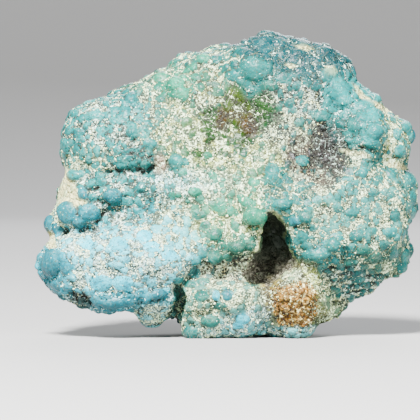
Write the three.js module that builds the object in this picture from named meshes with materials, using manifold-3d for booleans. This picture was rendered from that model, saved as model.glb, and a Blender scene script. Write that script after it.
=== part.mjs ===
// A rough nugget of turquoise: one solid stone that stands on three worn spots of its underside.
// Lengths are in millimetres, X to the right, Y away from the viewer and Z up, with the origin under the middle.
// Places on the stone are given as they stand in a front view of 420 by 420 pixels, across and down,
// and PIXEL turns them into millimetres. Heights of relief and depths are millimetres.
import * as THREE from "three";
import { mergeVertices } from "three/addons/utils/BufferGeometryUtils.js";
import Module from "manifold-3d";

const WIDTH = 38.3;
const WIDTH_IN_VIEW = 383;
const PIXEL = WIDTH / WIDTH_IN_VIEW;
const LEAN_BACK = 0.1; // mm that the stone goes back for each mm of height
const SKIN_DETAIL = 20;
const HOLLOW_DETAIL = 4;
const FRONT_SHARE = 0.3; // over 0 crowds the skin's triangles onto the front
const COLOUR = 0x5fb3b5;

const FLOOR_LINE = 336; // how far down the view the resting plane is

// The body: its rim as it shows in the front view without its knobs, clockwise, the place where
// its rays start, and its depth before and behind the rim's plane. A squareness of 2 is an
// ellipsoid, and more is a flatter face with a rounder rim.
const BODY = {
  middle: { across: 232, down: 190 },
  front: 7.6,
  back: 9.2,
  squareness: 2.6,
  rim: [
    [71, 111], [99, 98], [127, 86], [156, 72], [189, 55], [222, 47], [250, 42], [268, 40],
    [300, 43], [331, 53], [348, 62], [356, 81], [366, 99], [388, 110], [404, 125], [407, 147],
    [408, 168], [411, 189], [411, 212], [406, 232], [404, 252], [397, 268], [382, 280], [367, 293],
    [346, 307], [326, 321], [303, 332], [272, 335], [240, 337], [208, 338], [188, 334], [170, 318],
    [150, 320], [130, 300], [100, 298], [77, 294], [58, 283], [49, 265], [47, 246], [45, 225],
    [54, 207], [59, 186], [60, 164], [63, 140], [66, 124],
  ],
};

// Broad swells and hollows: across, down, half-width, half-height, rise.
const FRONT_SWELLS = [
  [120, 264, 70, 36, 1.2],
  [235, 128, 44, 34, -1.2], // the green hollow in the middle
  [320, 153, 24, 28, -1.3], // the dark hollow inside the ridge
  [358, 292, 34, 20, -1.4], // the undercut below the right-hand swell
  [222, 274, 36, 9, -1.3], // the dark step above the foot
  [150, 218, 40, 16, -0.6],
  [290, 62, 56, 30, 0.5],
];
const BACK_SWELLS = [
  [150, 170, 70, 60, 1.0],
  [300, 140, 60, 44, 1.2],
  [230, 240, 36, 30, -1.4],
  [330, 240, 46, 34, 0.8],
  [120, 262, 40, 30, -0.8],
];

// Ledges of the front, which end in a step: across, down, half-width, half-height, rise.
const LEDGES = [
  [112, 270, 74, 42, 1.3], // the bright mound at the lower left
  [112, 137, 56, 38, 0.9], // the shelf at the upper left
  [90, 180, 36, 24, 0.6], // the step below that shelf
  [166, 182, 34, 18, 0.4],
  [292, 64, 64, 32, 0.9], // the block at the top right
  [362, 118, 18, 40, 1.3], // the ridge on the right
  [348, 220, 60, 42, 1.0], // the swell at the lower right
  [266, 194, 34, 24, 0.6], // the brow over the pocket
  [222, 306, 44, 32, 0.9], // the lobe at the foot
  [297, 303, 22, 27, 1.3], // the brown lump
];
const LEDGE_EDGE = 0.22; // the share of a ledge's radius that its step takes

// Rounded knobs: across, down, radius in pixels, and the rise of the top.
const FRONT_KNOBS = [
  [66, 213, 12, 1.43], [88, 213, 12, 1.43], [75, 176, 11, 0.91], [84, 193, 11, 0.65], [112, 196, 11, 1.17],
  [97, 116, 12, 0.52], [130, 102, 12, 0.65], [79, 134, 11, 0.65], [133, 133, 11, 0.65], [176, 87, 14, 0.91],
  [160, 77, 11, 0.65], [202, 60, 11, 0.78], [255, 69, 16, 0.78], [233, 76, 11, 0.52], [268, 47, 13, 0.65],
  [303, 64, 13, 0.52], [343, 99, 12, 1.04], [370, 109, 11, 0.91], [375, 136, 13, 1.17], [353, 126, 11, 0.65],
  [322, 116, 11, 0.65], [302, 161, 11, 0.78], [159, 162, 11, 0.91], [178, 161, 11, 1.04], [195, 192, 11, 0.65],
  [254, 218, 14, 1.3], [281, 203, 11, 0.91], [301, 218, 11, 1.04], [272, 170, 11, 0.65], [236, 246, 12, 1.04],
  [214, 257, 11, 1.17], [215, 235, 11, 0.65], [220, 210, 11, 0.52], [318, 254, 12, 0.78], [333, 244, 11, 0.91],
  [357, 236, 11, 0.65], [365, 251, 11, 0.78], [390, 232, 11, 0.65], [362, 173, 11, 0.78], [391, 174, 11, 0.65],
  [397, 134, 11, 0.78], [401, 152, 11, 0.91], [119, 244, 14, 0.78], [101, 284, 15, 0.91], [126, 284, 13, 0.78],
  [156, 294, 12, 0.91], [209, 321, 11, 0.78], [201, 295, 11, 0.52], [229, 295, 11, 0.52], [240, 321, 11, 0.52],
  [330, 196, 12, 0.52], [148, 255, 13, 0.52], [205, 130, 12, 0.52], [75, 252, 12, 0.52], [290, 290, 11, 0.52],
];
const BACK_KNOBS = [
  [110, 150, 22, 1.1], [165, 125, 18, 0.9], [205, 165, 20, 1.0], [150, 205, 23, 1.2], [92, 205, 18, 0.9],
  [88, 252, 19, 1.0], [140, 270, 17, 0.8], [190, 285, 18, 0.9], [250, 292, 20, 0.9], [300, 285, 17, 0.8],
  [268, 215, 17, 0.7], [215, 215, 15, 0.6], [322, 235, 22, 1.1], [368, 228, 17, 0.9], [350, 180, 20, 1.0],
  [292, 160, 19, 0.9], [258, 110, 20, 1.0], [318, 108, 17, 0.9], [212, 88, 17, 0.7], [300, 70, 15, 0.7],
  [372, 140, 15, 0.8], [245, 170, 14, 0.6], [120, 105, 16, 0.6], [345, 275, 15, 0.7], [185, 242, 16, 0.7],
];

// Knobs on the rim, in the same units, with how far behind the rim's plane they are.
const RIM_KNOBS = [
  [48, 261, 17, 0.7, -1.5], [56, 284, 13, 0.7, -1.0], [47, 223, 13, 0.7, -0.5], [63, 157, 11, 0.6, 0],
  [67, 132, 11, 0.5, 0.5], [60, 190, 12, 0.5, 0.5], [96, 302, 15, 0.9, -1.5], [124, 304, 14, 0.7, -1.0],
  [148, 318, 13, 1.0, -2.5], [73, 296, 13, 0.5, 3.0], [90, 106, 12, 0.4, 0.5], [120, 91, 12, 0.5, 0.5],
  [155, 75, 12, 0.4, 0], [184, 59, 13, 0.8, 0.5], [215, 49, 15, 0.7, 1.0], [264, 40, 16, 1.0, 0],
  [303, 41, 15, 0.4, 0.5], [340, 58, 14, 0.5, 0.5], [364, 93, 12, 0.3, 1.0], [386, 110, 12, 0.6, 1.0],
  [402, 133, 14, 1.1, 0], [404, 156, 11, 0.7, -0.5], [408, 186, 15, 1.0, 0], [409, 210, 14, 0.8, 0],
  [402, 243, 13, 0.9, 0], [396, 266, 14, 1.2, 0], [370, 288, 13, 0.6, -1.0], [332, 314, 13, 0.5, -1.5],
  [62, 210, 16, 0.8, 5.0], [64, 150, 18, 0.8, 4.5], [110, 96, 17, 0.7, 5.0], [190, 56, 18, 0.8, 5.0],
  [250, 43, 19, 0.9, 5.0], [320, 48, 18, 0.8, 5.0], [372, 98, 17, 0.8, 4.5], [404, 160, 18, 0.9, 4.5],
  [402, 225, 18, 0.9, 4.5], [378, 281, 17, 0.8, 4.5], [50, 268, 17, 0.7, 4.0], [110, 304, 18, 0.8, 4.5],
  [140, 84, 15, 0.7, -4.0], [330, 51, 15, 0.7, -4.0], [404, 196, 15, 0.8, -4.5], [152, 316, 14, 0.7, 3.0],
];

// The three lumps that the stone stands on, in the units of the rim's knobs.
const FEET = [
  [197, 336, 18, 0.7, -3.2],
  [290, 334, 22, 0.8, -3.0],
  [246, 336, 34, 1.3, 4.8],
];
const KNOB_ROUNDNESS = 0.65; // 0.5 is a half ball, and more runs out more gently
const KNOB_WEAR = 0.5; // the share of a knob's sharpness that wear has taken

// Grooves between the ledges: a line across the view, half-width in pixels, and depth.
const GROOVES = [
  { line: [[54, 168], [110, 174], [150, 173], [168, 168]], halfWidth: 8, depth: 0.9 },
  { line: [[84, 189], [102, 202], [124, 205], [168, 199]], halfWidth: 8, depth: 0.5 },
  { line: [[48, 231], [94, 229], [104, 214], [136, 206]], halfWidth: 8, depth: 0.9 },
  { line: [[172, 287], [192, 277], [218, 267], [250, 260]], halfWidth: 9, depth: 1.1 },
  { line: [[296, 263], [328, 261], [346, 252], [378, 260]], halfWidth: 8, depth: 0.6 },
  { line: [[420, 167], [386, 163]], halfWidth: 8, depth: 0.5 },
  { line: [[420, 228], [396, 238]], halfWidth: 8, depth: 0.5 },
];
const GROOVE_FADE = { from: -1, to: 3.5 }; // mm behind the rim's plane over which grooves run out
const FACE_TURN = 0.5; // how far a place must face forwards or backwards to have all that face's relief

// The pocket in the front and the cleft at the foot: hollows that are cut out, given as the body is,
// with how far behind the rim's plane the place is that their rays start from.
const POCKET = {
  middle: { across: 272, down: 245 },
  behind: -7.0,
  front: 5.0,
  back: 5.4,
  squareness: 2.8,
  rim: [
    [266, 211], [276, 212], [283, 221], [288, 232], [292, 248], [300, 264], [290, 273], [277, 281],
    [262, 288], [247, 284], [240, 274], [250, 262], [258, 247], [260, 230],
  ],
};
const CLEFT = {
  middle: { across: 177, down: 315 },
  behind: -7.0,
  front: 6.0,
  back: 6.2,
  squareness: 2.2,
  rim: [[180, 284], [186, 298], [183, 312], [181, 330], [184, 350], [170, 350], [170, 322], [174, 300]],
};

const acrossToX = (across) => (across - BODY.middle.across) * PIXEL;
const downToZ = (down) => (FLOOR_LINE - down) * PIXEL;
const xToAcross = (x) => x / PIXEL + BODY.middle.across;
const zToDown = (z) => FLOOR_LINE - z / PIXEL;
const leanAt = (z) => (z - downToZ(BODY.middle.down)) * LEAN_BACK;

/** A rim's distance from its middle in pixels, as a function of the angle in the front view. */
function rimDistance({ rim, middle }) {
  const points = rim.map(([across, down]) => new THREE.Vector3(across, -down, 0));
  const start = new THREE.Vector3(middle.across, -middle.down, 0);
  const samples = new THREE.CatmullRomCurve3(points, true, "centripetal")
    .getPoints(rim.length * 8)
    .map((p) => p.sub(start))
    .map((p) => ({ angle: Math.atan2(p.y, p.x), distance: p.length() }))
    .sort((a, b) => a.angle - b.angle);
  const turn = 2 * Math.PI;
  return (angle) => {
    const after = samples.findIndex((s) => s.angle > angle);
    const b = samples[Math.max(after, 0)];
    const a = samples.at(after > 0 ? after - 1 : -1);
    const span = (b.angle - a.angle + turn) % turn;
    const part = span > 0 ? ((angle - a.angle + turn) % turn) / span : 0;
    return THREE.MathUtils.lerp(a.distance, b.distance, part);
  };
}

/** A closed skin whose front view has the form's rim, and which bulges before and behind it. */
function bulgingSkin(form, detail, frontShare) {
  const distanceAt = rimDistance(form);
  const skin = new THREE.IcosahedronGeometry(1, detail);
  skin.deleteAttribute("normal");
  skin.deleteAttribute("uv");
  const merged = mergeVertices(skin, 1e-5);
  const places = merged.getAttribute("position");
  const ray = new THREE.Vector3();
  for (let i = 0; i < places.count; i++) {
    ray.fromBufferAttribute(places, i);
    ray.y -= frontShare;
    ray.normalize();
    const flat = Math.hypot(ray.x, ray.z);
    const power = form.squareness;
    const norm = (flat ** power + Math.abs(ray.y) ** power) ** (1 / power);
    const angle = Math.atan2(ray.z, ray.x);
    const reach = (flat / norm) * distanceAt(angle);
    const across = form.middle.across + reach * Math.cos(angle);
    const down = form.middle.down - reach * Math.sin(angle);
    const depth = (ray.y / norm) * (ray.y < 0 ? form.front : form.back);
    const z = downToZ(down);
    places.setXYZ(i, acrossToX(across), (form.behind ?? 0) + depth + leanAt(z), z);
  }
  return merged;
}

/** How far outside an ellipse in the view a place is, as a share of the ellipse's radius. */
function ellipseShare([across, down, halfWidth, halfHeight], place) {
  return Math.hypot((place.across - across) / halfWidth, (place.down - down) / halfHeight);
}

/** The rise of the swells and ledges at a place in the view. */
function broadRise(place, isFront) {
  const swells = isFront ? FRONT_SWELLS : BACK_SWELLS;
  const swell = swells.reduce((sum, s) => sum + s[4] * Math.exp(-(ellipseShare(s, place) ** 2)), 0);
  const ledge = (isFront ? LEDGES : []).reduce((highest, l) => {
    const inside = 1 - THREE.MathUtils.smoothstep(ellipseShare(l, place), 1 - LEDGE_EDGE, 1 + LEDGE_EDGE);
    return Math.max(highest, l[4] * inside);
  }, 0);
  return swell + ledge;
}

/** How deep the grooves are at a place in the view. */
function grooveDepth(place) {
  const here = new THREE.Vector3(place.across, place.down, 0);
  return GROOVES.reduce((deepest, { line, halfWidth, depth }) => {
    const corners = line.map(([across, down]) => new THREE.Vector3(across, down, 0));
    const distances = corners.slice(1).map((end, i) => {
      const segment = new THREE.Line3(corners[i], end);
      return segment.closestPointToPoint(here, true, new THREE.Vector3()).distanceTo(here);
    });
    return Math.max(deepest, depth * Math.exp(-((Math.min(...distances) / halfWidth) ** 2)));
  }, 0);
}

/** Where a place in the view lies on the body's front (-1) or back (1). */
function onFace(across, down, side, distanceAt) {
  const { middle, squareness, front, back } = BODY;
  const angle = Math.atan2(middle.down - down, across - middle.across);
  const share = Math.min(1, Math.hypot(across - middle.across, down - middle.down) / distanceAt(angle));
  const depth = side * (1 - share ** squareness) ** (1 / squareness) * (side < 0 ? front : back);
  return new THREE.Vector3(acrossToX(across), depth + leanAt(downToZ(down)), downToZ(down));
}

/** Where the body's edge lies in the direction of a place in the view, some way behind the rim's plane. */
function onRim(across, down, behind, distanceAt) {
  const { middle, squareness, front, back } = BODY;
  const angle = Math.atan2(middle.down - down, across - middle.across);
  const share = (1 - (Math.abs(behind) / (behind < 0 ? front : back)) ** squareness) ** (1 / squareness);
  const reach = share * distanceAt(angle);
  const z = downToZ(middle.down - reach * Math.sin(angle));
  return new THREE.Vector3(acrossToX(middle.across + reach * Math.cos(angle)), behind + leanAt(z), z);
}

/** Every knob and foot: its middle on the body, radius and rise, in mm. */
function allKnobs() {
  const distanceAt = rimDistance(BODY);
  const faces = [[FRONT_KNOBS, -1], [BACK_KNOBS, 1]];
  const faceKnobs = faces.flatMap(([knobs, side]) =>
    knobs.map(([across, down, radius, rise]) => ({
      middle: onFace(across, down, side, distanceAt),
      radius: radius * PIXEL,
      rise,
    })),
  );
  const rimKnobs = [...RIM_KNOBS, ...FEET].map(([across, down, radius, rise, behind]) => ({
    middle: onRim(across, down, behind, distanceAt),
    radius: radius * PIXEL,
    rise,
  }));
  return [...faceKnobs, ...rimKnobs];
}

/** The rise of the knobs at a point of the body. */
function knobRise(point, knobs) {
  return knobs.reduce((highest, { middle, radius, rise }) => {
    const inside = 1 - middle.distanceToSquared(point) / radius ** 2;
    return inside > 0 ? Math.max(highest, rise * inside ** KNOB_ROUNDNESS) : highest;
  }, 0);
}

/** Values at the skin's points, each averaged with those of its neighbours. */
function weathered(values, index) {
  const sums = [...values];
  const counts = values.map(() => 1);
  for (let i = 0; i < index.count; i += 3) {
    for (const [a, b] of [[0, 1], [1, 2], [2, 0]]) {
      sums[index.getX(i + a)] += values[index.getX(i + b)];
      counts[index.getX(i + a)] += 1;
    }
  }
  return sums.map((sum, i) => sum / counts[i]);
}

/** The stone's outer skin: the body with its swells, ledges, grooves and knobs raised on it. */
function stoneSkin() {
  const knobs = allKnobs();
  const skin = bulgingSkin(BODY, SKIN_DETAIL, FRONT_SHARE);
  skin.computeVertexNormals();
  const places = skin.getAttribute("position");
  const normals = skin.getAttribute("normal");
  const spots = Array.from({ length: places.count }, (_, i) => {
    const point = new THREE.Vector3().fromBufferAttribute(places, i);
    const normal = new THREE.Vector3().fromBufferAttribute(normals, i);
    const place = { across: xToAcross(point.x), down: zToDown(point.z) };
    const behind = point.y - leanAt(point.z);
    const open = 1 - THREE.MathUtils.smoothstep(behind, GROOVE_FADE.from, GROOVE_FADE.to);
    const onFront = THREE.MathUtils.smoothstep(-normal.y, 0, FACE_TURN);
    const onBack = THREE.MathUtils.smoothstep(normal.y, 0, FACE_TURN);
    const broad = onFront * broadRise(place, true) + onBack * broadRise(place, false);
    return { point, normal, broad: broad - open * grooveDepth(place), knob: knobRise(point, knobs) };
  });
  const broad = weathered(spots.map((spot) => spot.broad), skin.index);
  const worn = weathered(spots.map((spot) => spot.knob), skin.index);
  spots.forEach(({ point, normal, knob }, i) => {
    const rise = broad[i] + THREE.MathUtils.lerp(knob, worn[i], KNOB_WEAR);
    places.setXYZ(i, ...point.addScaledVector(normal, rise));
  });
  return skin;
}

const wasm = await Module();
wasm.setup();

/** A closed geometry as a solid that can be cut. */
function toSolid(geometry) {
  const bare = geometry.clone();
  bare.deleteAttribute("normal");
  bare.deleteAttribute("uv");
  const merged = mergeVertices(bare, 1e-4);
  return new wasm.Manifold(
    new wasm.Mesh({
      numProp: 3,
      vertProperties: new Float32Array(merged.getAttribute("position").array),
      triVerts: new Uint32Array(merged.index.array),
    }),
  );
}

/** A solid as a geometry. */
function toGeometry(solid) {
  const mesh = solid.getMesh();
  const geometry = new THREE.BufferGeometry();
  geometry.setAttribute("position", new THREE.BufferAttribute(new Float32Array(mesh.vertProperties), 3));
  geometry.setIndex(new THREE.BufferAttribute(new Uint32Array(mesh.triVerts), 1));
  geometry.computeVertexNormals();
  return geometry;
}

/** Everything below the resting plane. */
function underTheFloor() {
  const slab = new THREE.BoxGeometry(2 * WIDTH, 2 * WIDTH, WIDTH);
  slab.translate(0, 0, -WIDTH / 2);
  return toSolid(slab);
}

/** The finished stone, with its origin under the middle of its bounding box. */
function stone() {
  const hollows = [POCKET, CLEFT].map((form) => toSolid(bulgingSkin(form, HOLLOW_DETAIL, 0)));
  const cuts = [...hollows, underTheFloor()];
  const geometry = toGeometry(cuts.reduce((whole, cut) => whole.subtract(cut), toSolid(stoneSkin())));
  geometry.computeBoundingBox();
  const box = geometry.boundingBox;
  geometry.translate(-(box.min.x + box.max.x) / 2, -(box.min.y + box.max.y) / 2, -box.min.z);
  return geometry;
}

const nugget = new THREE.Mesh(
  stone(),
  new THREE.MeshStandardMaterial({ color: COLOUR, roughness: 0.55, metalness: 0 }),
);
nugget.name = "nugget";

const part = new THREE.Group();
part.add(nugget);

export default part;
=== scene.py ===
"""Rough turquoise nugget: the finished stone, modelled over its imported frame.

Places on the stone's show face are written as they stand in a front view of 420 by 420 pixels, and
View turns them into places on the stone. Lengths on the stone are millimetres until the mesh is
written, in metres.
"""
import logging
import math
from dataclasses import dataclass, field
from enum import Enum

import bpy
import numpy as np
from mathutils import Matrix, Vector


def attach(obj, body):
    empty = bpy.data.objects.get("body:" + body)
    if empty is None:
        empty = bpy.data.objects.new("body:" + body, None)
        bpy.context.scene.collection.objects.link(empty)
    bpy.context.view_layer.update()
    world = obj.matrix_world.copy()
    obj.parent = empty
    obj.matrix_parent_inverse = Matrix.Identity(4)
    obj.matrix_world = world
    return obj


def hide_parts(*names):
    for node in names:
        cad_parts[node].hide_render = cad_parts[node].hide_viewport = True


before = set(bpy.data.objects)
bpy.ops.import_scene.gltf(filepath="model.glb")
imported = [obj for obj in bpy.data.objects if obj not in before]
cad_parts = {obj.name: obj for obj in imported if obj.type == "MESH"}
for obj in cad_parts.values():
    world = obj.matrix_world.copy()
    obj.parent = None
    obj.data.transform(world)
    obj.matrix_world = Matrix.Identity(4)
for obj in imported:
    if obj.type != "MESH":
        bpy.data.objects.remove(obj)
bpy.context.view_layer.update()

log = logging.getLogger("nugget")
MM = 0.001

Shade = tuple[float, float, float, float]
Line = tuple[tuple[float, float], ...]
Places = tuple[np.ndarray, np.ndarray]
Span = tuple[float, float]


class Tint(Enum):
    """The colours of the stone, as sRGB shares of 255."""

    SKY = (30, 200, 220)
    BLUE = (12, 112, 124)
    AQUA = (14, 124, 120)
    TEAL = (18, 106, 100)
    DEEP = (12, 66, 70)
    MINT = (30, 132, 102)
    SEA = (28, 96, 80)
    GREEN = (30, 66, 14)
    OLIVE = (62, 76, 12)
    SLATE = (60, 100, 92)
    CREAM = (136, 160, 122)
    IVORY = (232, 226, 160)
    WHITE = (226, 252, 206)
    BUTTER = (172, 184, 98)
    ICE = (150, 230, 232)
    BROWN = (63, 39, 5)
    OCHRE = (108, 74, 20)
    TAN = (158, 128, 56)
    GOLD = (150, 106, 24)
    PINK = (156, 134, 112)
    SOOT = (35, 28, 26)
    HOLLOW = (44, 48, 38)

    def linear(self) -> np.ndarray:
        """Gives the colour in linear light."""
        share = np.array(self.value) / 255.0
        return np.where(share <= 0.04045, share / 12.92, ((share + 0.055) / 1.055) ** 2.4)


@dataclass(frozen=True)
class View:
    """The front view that the places on the show face are read from.

    Attributes:
        side: the view's width and height in pixels.
        pixel: the size of one pixel on the plane of the stone's rim, in mm.
        middle: the pixel column that lies over the origin.
        floor: the pixel row of the resting plane, for a level view.
        lens: the lens in mm.
        sensor: the width of the film in mm.
        elevation: how far the view looks down, in degrees.
    """

    side: float = 420.0
    pixel: float = 0.101
    middle: float = 227.2
    floor: float = 334.5
    lens: float = 300.0
    sensor: float = 36.0
    elevation: float = 1.5

    @property
    def reach(self) -> float:
        """Gives the distance from the camera to what it looks at, in mm."""
        return self.lens / self.sensor * self.side * self.pixel

    @property
    def target(self) -> np.ndarray:
        """Gives the point that the camera looks at, in mm."""
        half = self.side / 2
        return np.array([(half - self.middle) * self.pixel, 0.0, (self.floor - half) * self.pixel])

    @property
    def forward(self) -> np.ndarray:
        """Gives the direction that the camera looks in."""
        tilt = math.radians(self.elevation)
        return np.array([0.0, math.cos(tilt), -math.sin(tilt)])

    @property
    def up(self) -> np.ndarray:
        """Gives the camera's upward direction."""
        tilt = math.radians(self.elevation)
        return np.array([0.0, math.sin(tilt), math.cos(tilt)])

    @property
    def eye(self) -> np.ndarray:
        """Gives the camera's place, in mm."""
        return self.target - self.forward * self.reach

    def project(self, points: np.ndarray) -> Places:
        """Finds where points show in the view.

        Args:
            points: places in mm, one row each.

        Returns:
            The pixels across and down.
        """
        away = points - self.eye
        depth = away @ self.forward
        zoom = self.lens / self.sensor * self.side
        half = self.side / 2
        return half + zoom * away[:, 0] / depth, half - zoom * (away @ self.up) / depth


def smoothstep(low: float, high: float, value: np.ndarray) -> np.ndarray:
    """Rises smoothly from 0 at low to 1 at high."""
    share = np.clip((value - low) / (high - low), 0.0, 1.0)
    return share * share * (3 - 2 * share)


def blend(first: np.ndarray, second: np.ndarray | float, share: np.ndarray) -> np.ndarray:
    """Goes from the first, where the share is 0, to the second, where it is 1.

    Args:
        first: one colour, or a colour or a number for each point.
        second: the same kind of thing.
        share: a number for each point.

    Returns:
        A colour or a number for each point.
    """
    part = share[:, None] if np.shape(first)[-1:] == (3,) else share
    return (1 - part) * first + part * second


@dataclass(frozen=True)
class Noise:
    """Repeatable random fields in space.

    Attributes:
        seed: picks one field of many.
    """

    seed: int = 1

    def _hash(self, cells: np.ndarray, salt: int) -> np.ndarray:
        """Gives each cell a random number.

        Args:
            cells: the cells' places in whole numbers, one row each.
            salt: picks one set of numbers of many.

        Returns:
            A number from 0 to 1 for each cell.
        """
        big = cells.astype(np.int64).astype(np.uint64)
        mixed = big[..., 0] * np.uint64(73856093) ^ big[..., 1] * np.uint64(19349663)
        mixed ^= big[..., 2] * np.uint64(83492791) ^ np.uint64((self.seed * 7919 + salt) * 2654435761)
        for shift, factor in ((33, 0xFF51AFD7ED558CCD), (29, 0xC4CEB9FE1A85EC53)):
            mixed = (mixed ^ (mixed >> np.uint64(shift))) * np.uint64(factor)
        return ((mixed ^ (mixed >> np.uint64(32))) & np.uint64(0xFFFFFF)) / float(0xFFFFFF)

    def smooth(self, points: np.ndarray, size: float, octaves: int = 1) -> np.ndarray:
        """Gives soft clouds between -1 and 1.

        Args:
            points: places in mm, one row each.
            size: the clouds' size in mm.
            octaves: how many halvings of size are added up.

        Returns:
            One value for each point.
        """
        total = np.zeros(len(points))
        weight = 0.0
        for octave in range(octaves):
            place = points / (size / 2**octave)
            base = np.floor(place)
            part = place - base
            part = part * part * (3 - 2 * part)
            value = np.zeros(len(points))
            for corner in np.ndindex(2, 2, 2):
                step = np.array(corner)
                share = np.prod(np.where(step == 1, part, 1 - part), axis=1)
                value += share * self._hash(base + step, octave)
            total += (value * 2 - 1) * 0.5**octave
            weight += 0.5**octave
        return total / weight

    def cells(self, points: np.ndarray, size: float) -> tuple[np.ndarray, ...]:
        """Scatters one seed point in each cube of space and finds the nearest.

        Args:
            points: places in mm, one row each.
            size: the cubes' size in mm.

        Returns:
            The distance to the nearest seed and to the next nearest, and the way to the nearest,
            all in cubes, and three random numbers from 0 to 1 for the nearest seed.
        """
        place = points / size
        base = np.floor(place)
        first = np.full(len(points), 9.0)
        second = np.full(len(points), 9.0)
        owner = np.zeros((len(points), 3))
        offset = np.zeros((len(points), 3))
        for corner in np.ndindex(3, 3, 3):
            cell = base + np.array(corner) - 1
            seeds = cell + np.stack([self._hash(cell, salt) for salt in (11, 12, 13)], axis=1)
            away = np.linalg.norm(place - seeds, axis=1)
            nearer = away < first
            second = np.where(nearer, first, np.minimum(second, away))
            first = np.where(nearer, away, first)
            owner[nearer] = cell[nearer]
            offset[nearer] = (place - seeds)[nearer]
        traits = np.stack([self._hash(owner, salt) for salt in (21, 22, 23)], axis=1)
        return first, second, offset, traits


@dataclass(frozen=True)
class Clouds:
    """Scattered clouds, 1 inside and 0 outside.

    Attributes:
        seed: picks one field of many.
        size: the clouds' size in mm.
        octaves: how many halvings of size are added up.
        low, high: the heights of the noise between which a cloud fades in.
    """

    seed: int
    size: float
    octaves: int
    low: float
    high: float

    def at(self, points: np.ndarray) -> np.ndarray:
        """Gives how much cloud there is at each point."""
        return smoothstep(self.low, self.high, Noise(self.seed).smooth(points, self.size, self.octaves))


@dataclass(frozen=True)
class Stir:
    """Moves places of the view about, so that edges come out uneven.

    Attributes:
        seeds: pick the noise across and down.
        reach: how far places are moved, in pixels.
        size: the noise's size in mm.
        octaves: how many halvings of size are added up.
    """

    seeds: tuple[int, int]
    reach: float
    size: float
    octaves: int

    def moved(self, points: np.ndarray, places: Places) -> Places:
        """Moves places.

        Args:
            points: the points on the stone, in mm.
            places: where they show in the view.

        Returns:
            The moved places.
        """
        sway = [self.reach * Noise(seed).smooth(points, self.size, self.octaves) for seed in self.seeds]
        return places[0] + sway[0], places[1] + sway[1]


@dataclass(frozen=True)
class Oval:
    """An upright oval of the view.

    Attributes:
        across, down: its middle in the view.
        half_width, half_height: its half sizes in pixels.
    """

    across: float
    down: float
    half_width: float
    half_height: float

    def reach(self, places: Places) -> np.ndarray:
        """Gives how far each place lies from the middle, as a share of the half size."""
        across, down = places
        return np.hypot((across - self.across) / self.half_width, (down - self.down) / self.half_height)


@dataclass(frozen=True)
class Knob(Oval):
    """A rounded knob of the show face.

    Attributes:
        rise: how far its top stands up, as a share of its mean half size.
    """

    rise: float = 0.42


@dataclass(frozen=True)
class Zone(Oval):
    """A stretch of the show face with its own colours.

    Attributes:
        stone: the colour of its knobs.
        ground: the colour between its knobs.
        share: the share of its surface that is knobs.
        frost: how thickly white grains lie on it.
        soot: how thickly dark grains lie on it.
        weight: how strongly it covers its neighbours.
    """

    stone: Tint
    ground: Tint
    share: float
    frost: float
    soot: float
    weight: float = 1.0


@dataclass(frozen=True)
class Crevice:
    """A crack between knobs or under a ledge, cut into the surface and painted dark as shade.

    Attributes:
        line: its course in the view, as pixels across and down.
        half_width: its half-width in pixels.
        depth: its depth in mm.
    """

    line: Line
    half_width: float
    depth: float


@dataclass(frozen=True)
class Patch:
    """A stretch of the show face of one colour, with a clear edge.

    Attributes:
        ring: its outline in the view, as pixels across and down.
        tint: its colour.
        frost: how thickly white grains lie on it.
        soot: how thickly dark grains lie on it.
    """

    ring: Line
    tint: Tint
    frost: float
    soot: float


@dataclass(frozen=True)
class Stain:
    """The brown crystal patch, with golden sides.

    Attributes:
        oval: where it lies in the view.
        edge: the shares of the oval between which it fades out.
        foot: the rows between which it fades in from below.
        gold_aside: how far to each side of its middle the gold fades in, in pixels.
        gold_top: the rows between which the gold fades in from above.
        gold_foot: the rows between which the gold fades in from below.
        gold_sway: how far the gold's inner edge wanders, in pixels.
        blotches: where it is tan, and not brown.
    """

    oval: Oval
    edge: Span
    foot: Span
    gold_aside: Span
    gold_top: Span
    gold_foot: Span
    gold_sway: float
    blotches: Clouds


@dataclass(frozen=True)
class Layering:
    """Thin layers of stone that crop out one under the other.

    Attributes:
        oval: where they lie in the view.
        edge: the shares of the oval between which they fade out.
        pace: how closely they follow each other, in radians for each pixel down.
        slant: how far they fall for each pixel across.
        sway: how unevenly they run, in radians.
        frost: how much more white lies on their crests.
        soot: how much less dark lies on their crests.
    """

    oval: Oval
    edge: Span
    pace: float
    slant: float
    sway: float
    frost: float
    soot: float


@dataclass(frozen=True)
class Brink:
    """A straight line of the view, past which something fades in.

    Attributes:
        across, down: a place on the line.
        rightward, downward: how fast it fades in for each pixel right and down.
        start, end: where the fade starts and ends.
    """

    across: float
    down: float
    rightward: float
    downward: float
    start: float
    end: float

    def past(self, places: Places) -> np.ndarray:
        """Gives how far each place lies past the line, from 0 to 1."""
        across, down = places
        run = self.rightward * (across - self.across) + self.downward * (down - self.down)
        return smoothstep(self.start, self.end, run)


@dataclass(frozen=True)
class Pocket:
    """The pocket in the show face, whose depth is painted dark as shade.

    Attributes:
        rim: its outline in the view, as pixels across and down.
        mouth: how far inside the rim the painted shade fades in, in pixels.
        turned: how far a surface must face the view to take the painted shade, fading in.
        lip: how far from its middle line the ivory lip fades in, in pixels.
        lip_out: how far outside the rim the lip's middle line runs, in pixels.
        lip_foot: the rows between which the lip fades in from below.
        lip_breaks: where the lip shows.
        slopes: the lines past which its floor climbs out of the painted shade.
        slope_rows: the rows between which its floor comes half as far out of the painted shade as on the
            slopes.
        crumbs: the pale crumbs that lie on the slopes.
        crumb_share: how pale the crumbs are.
    """

    rim: Line
    mouth: Span
    turned: Span
    lip: Span
    lip_out: float
    lip_foot: Span
    lip_breaks: Clouds
    slopes: tuple[Brink, Brink]
    slope_rows: Span
    crumbs: Clouds
    crumb_share: float


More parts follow.
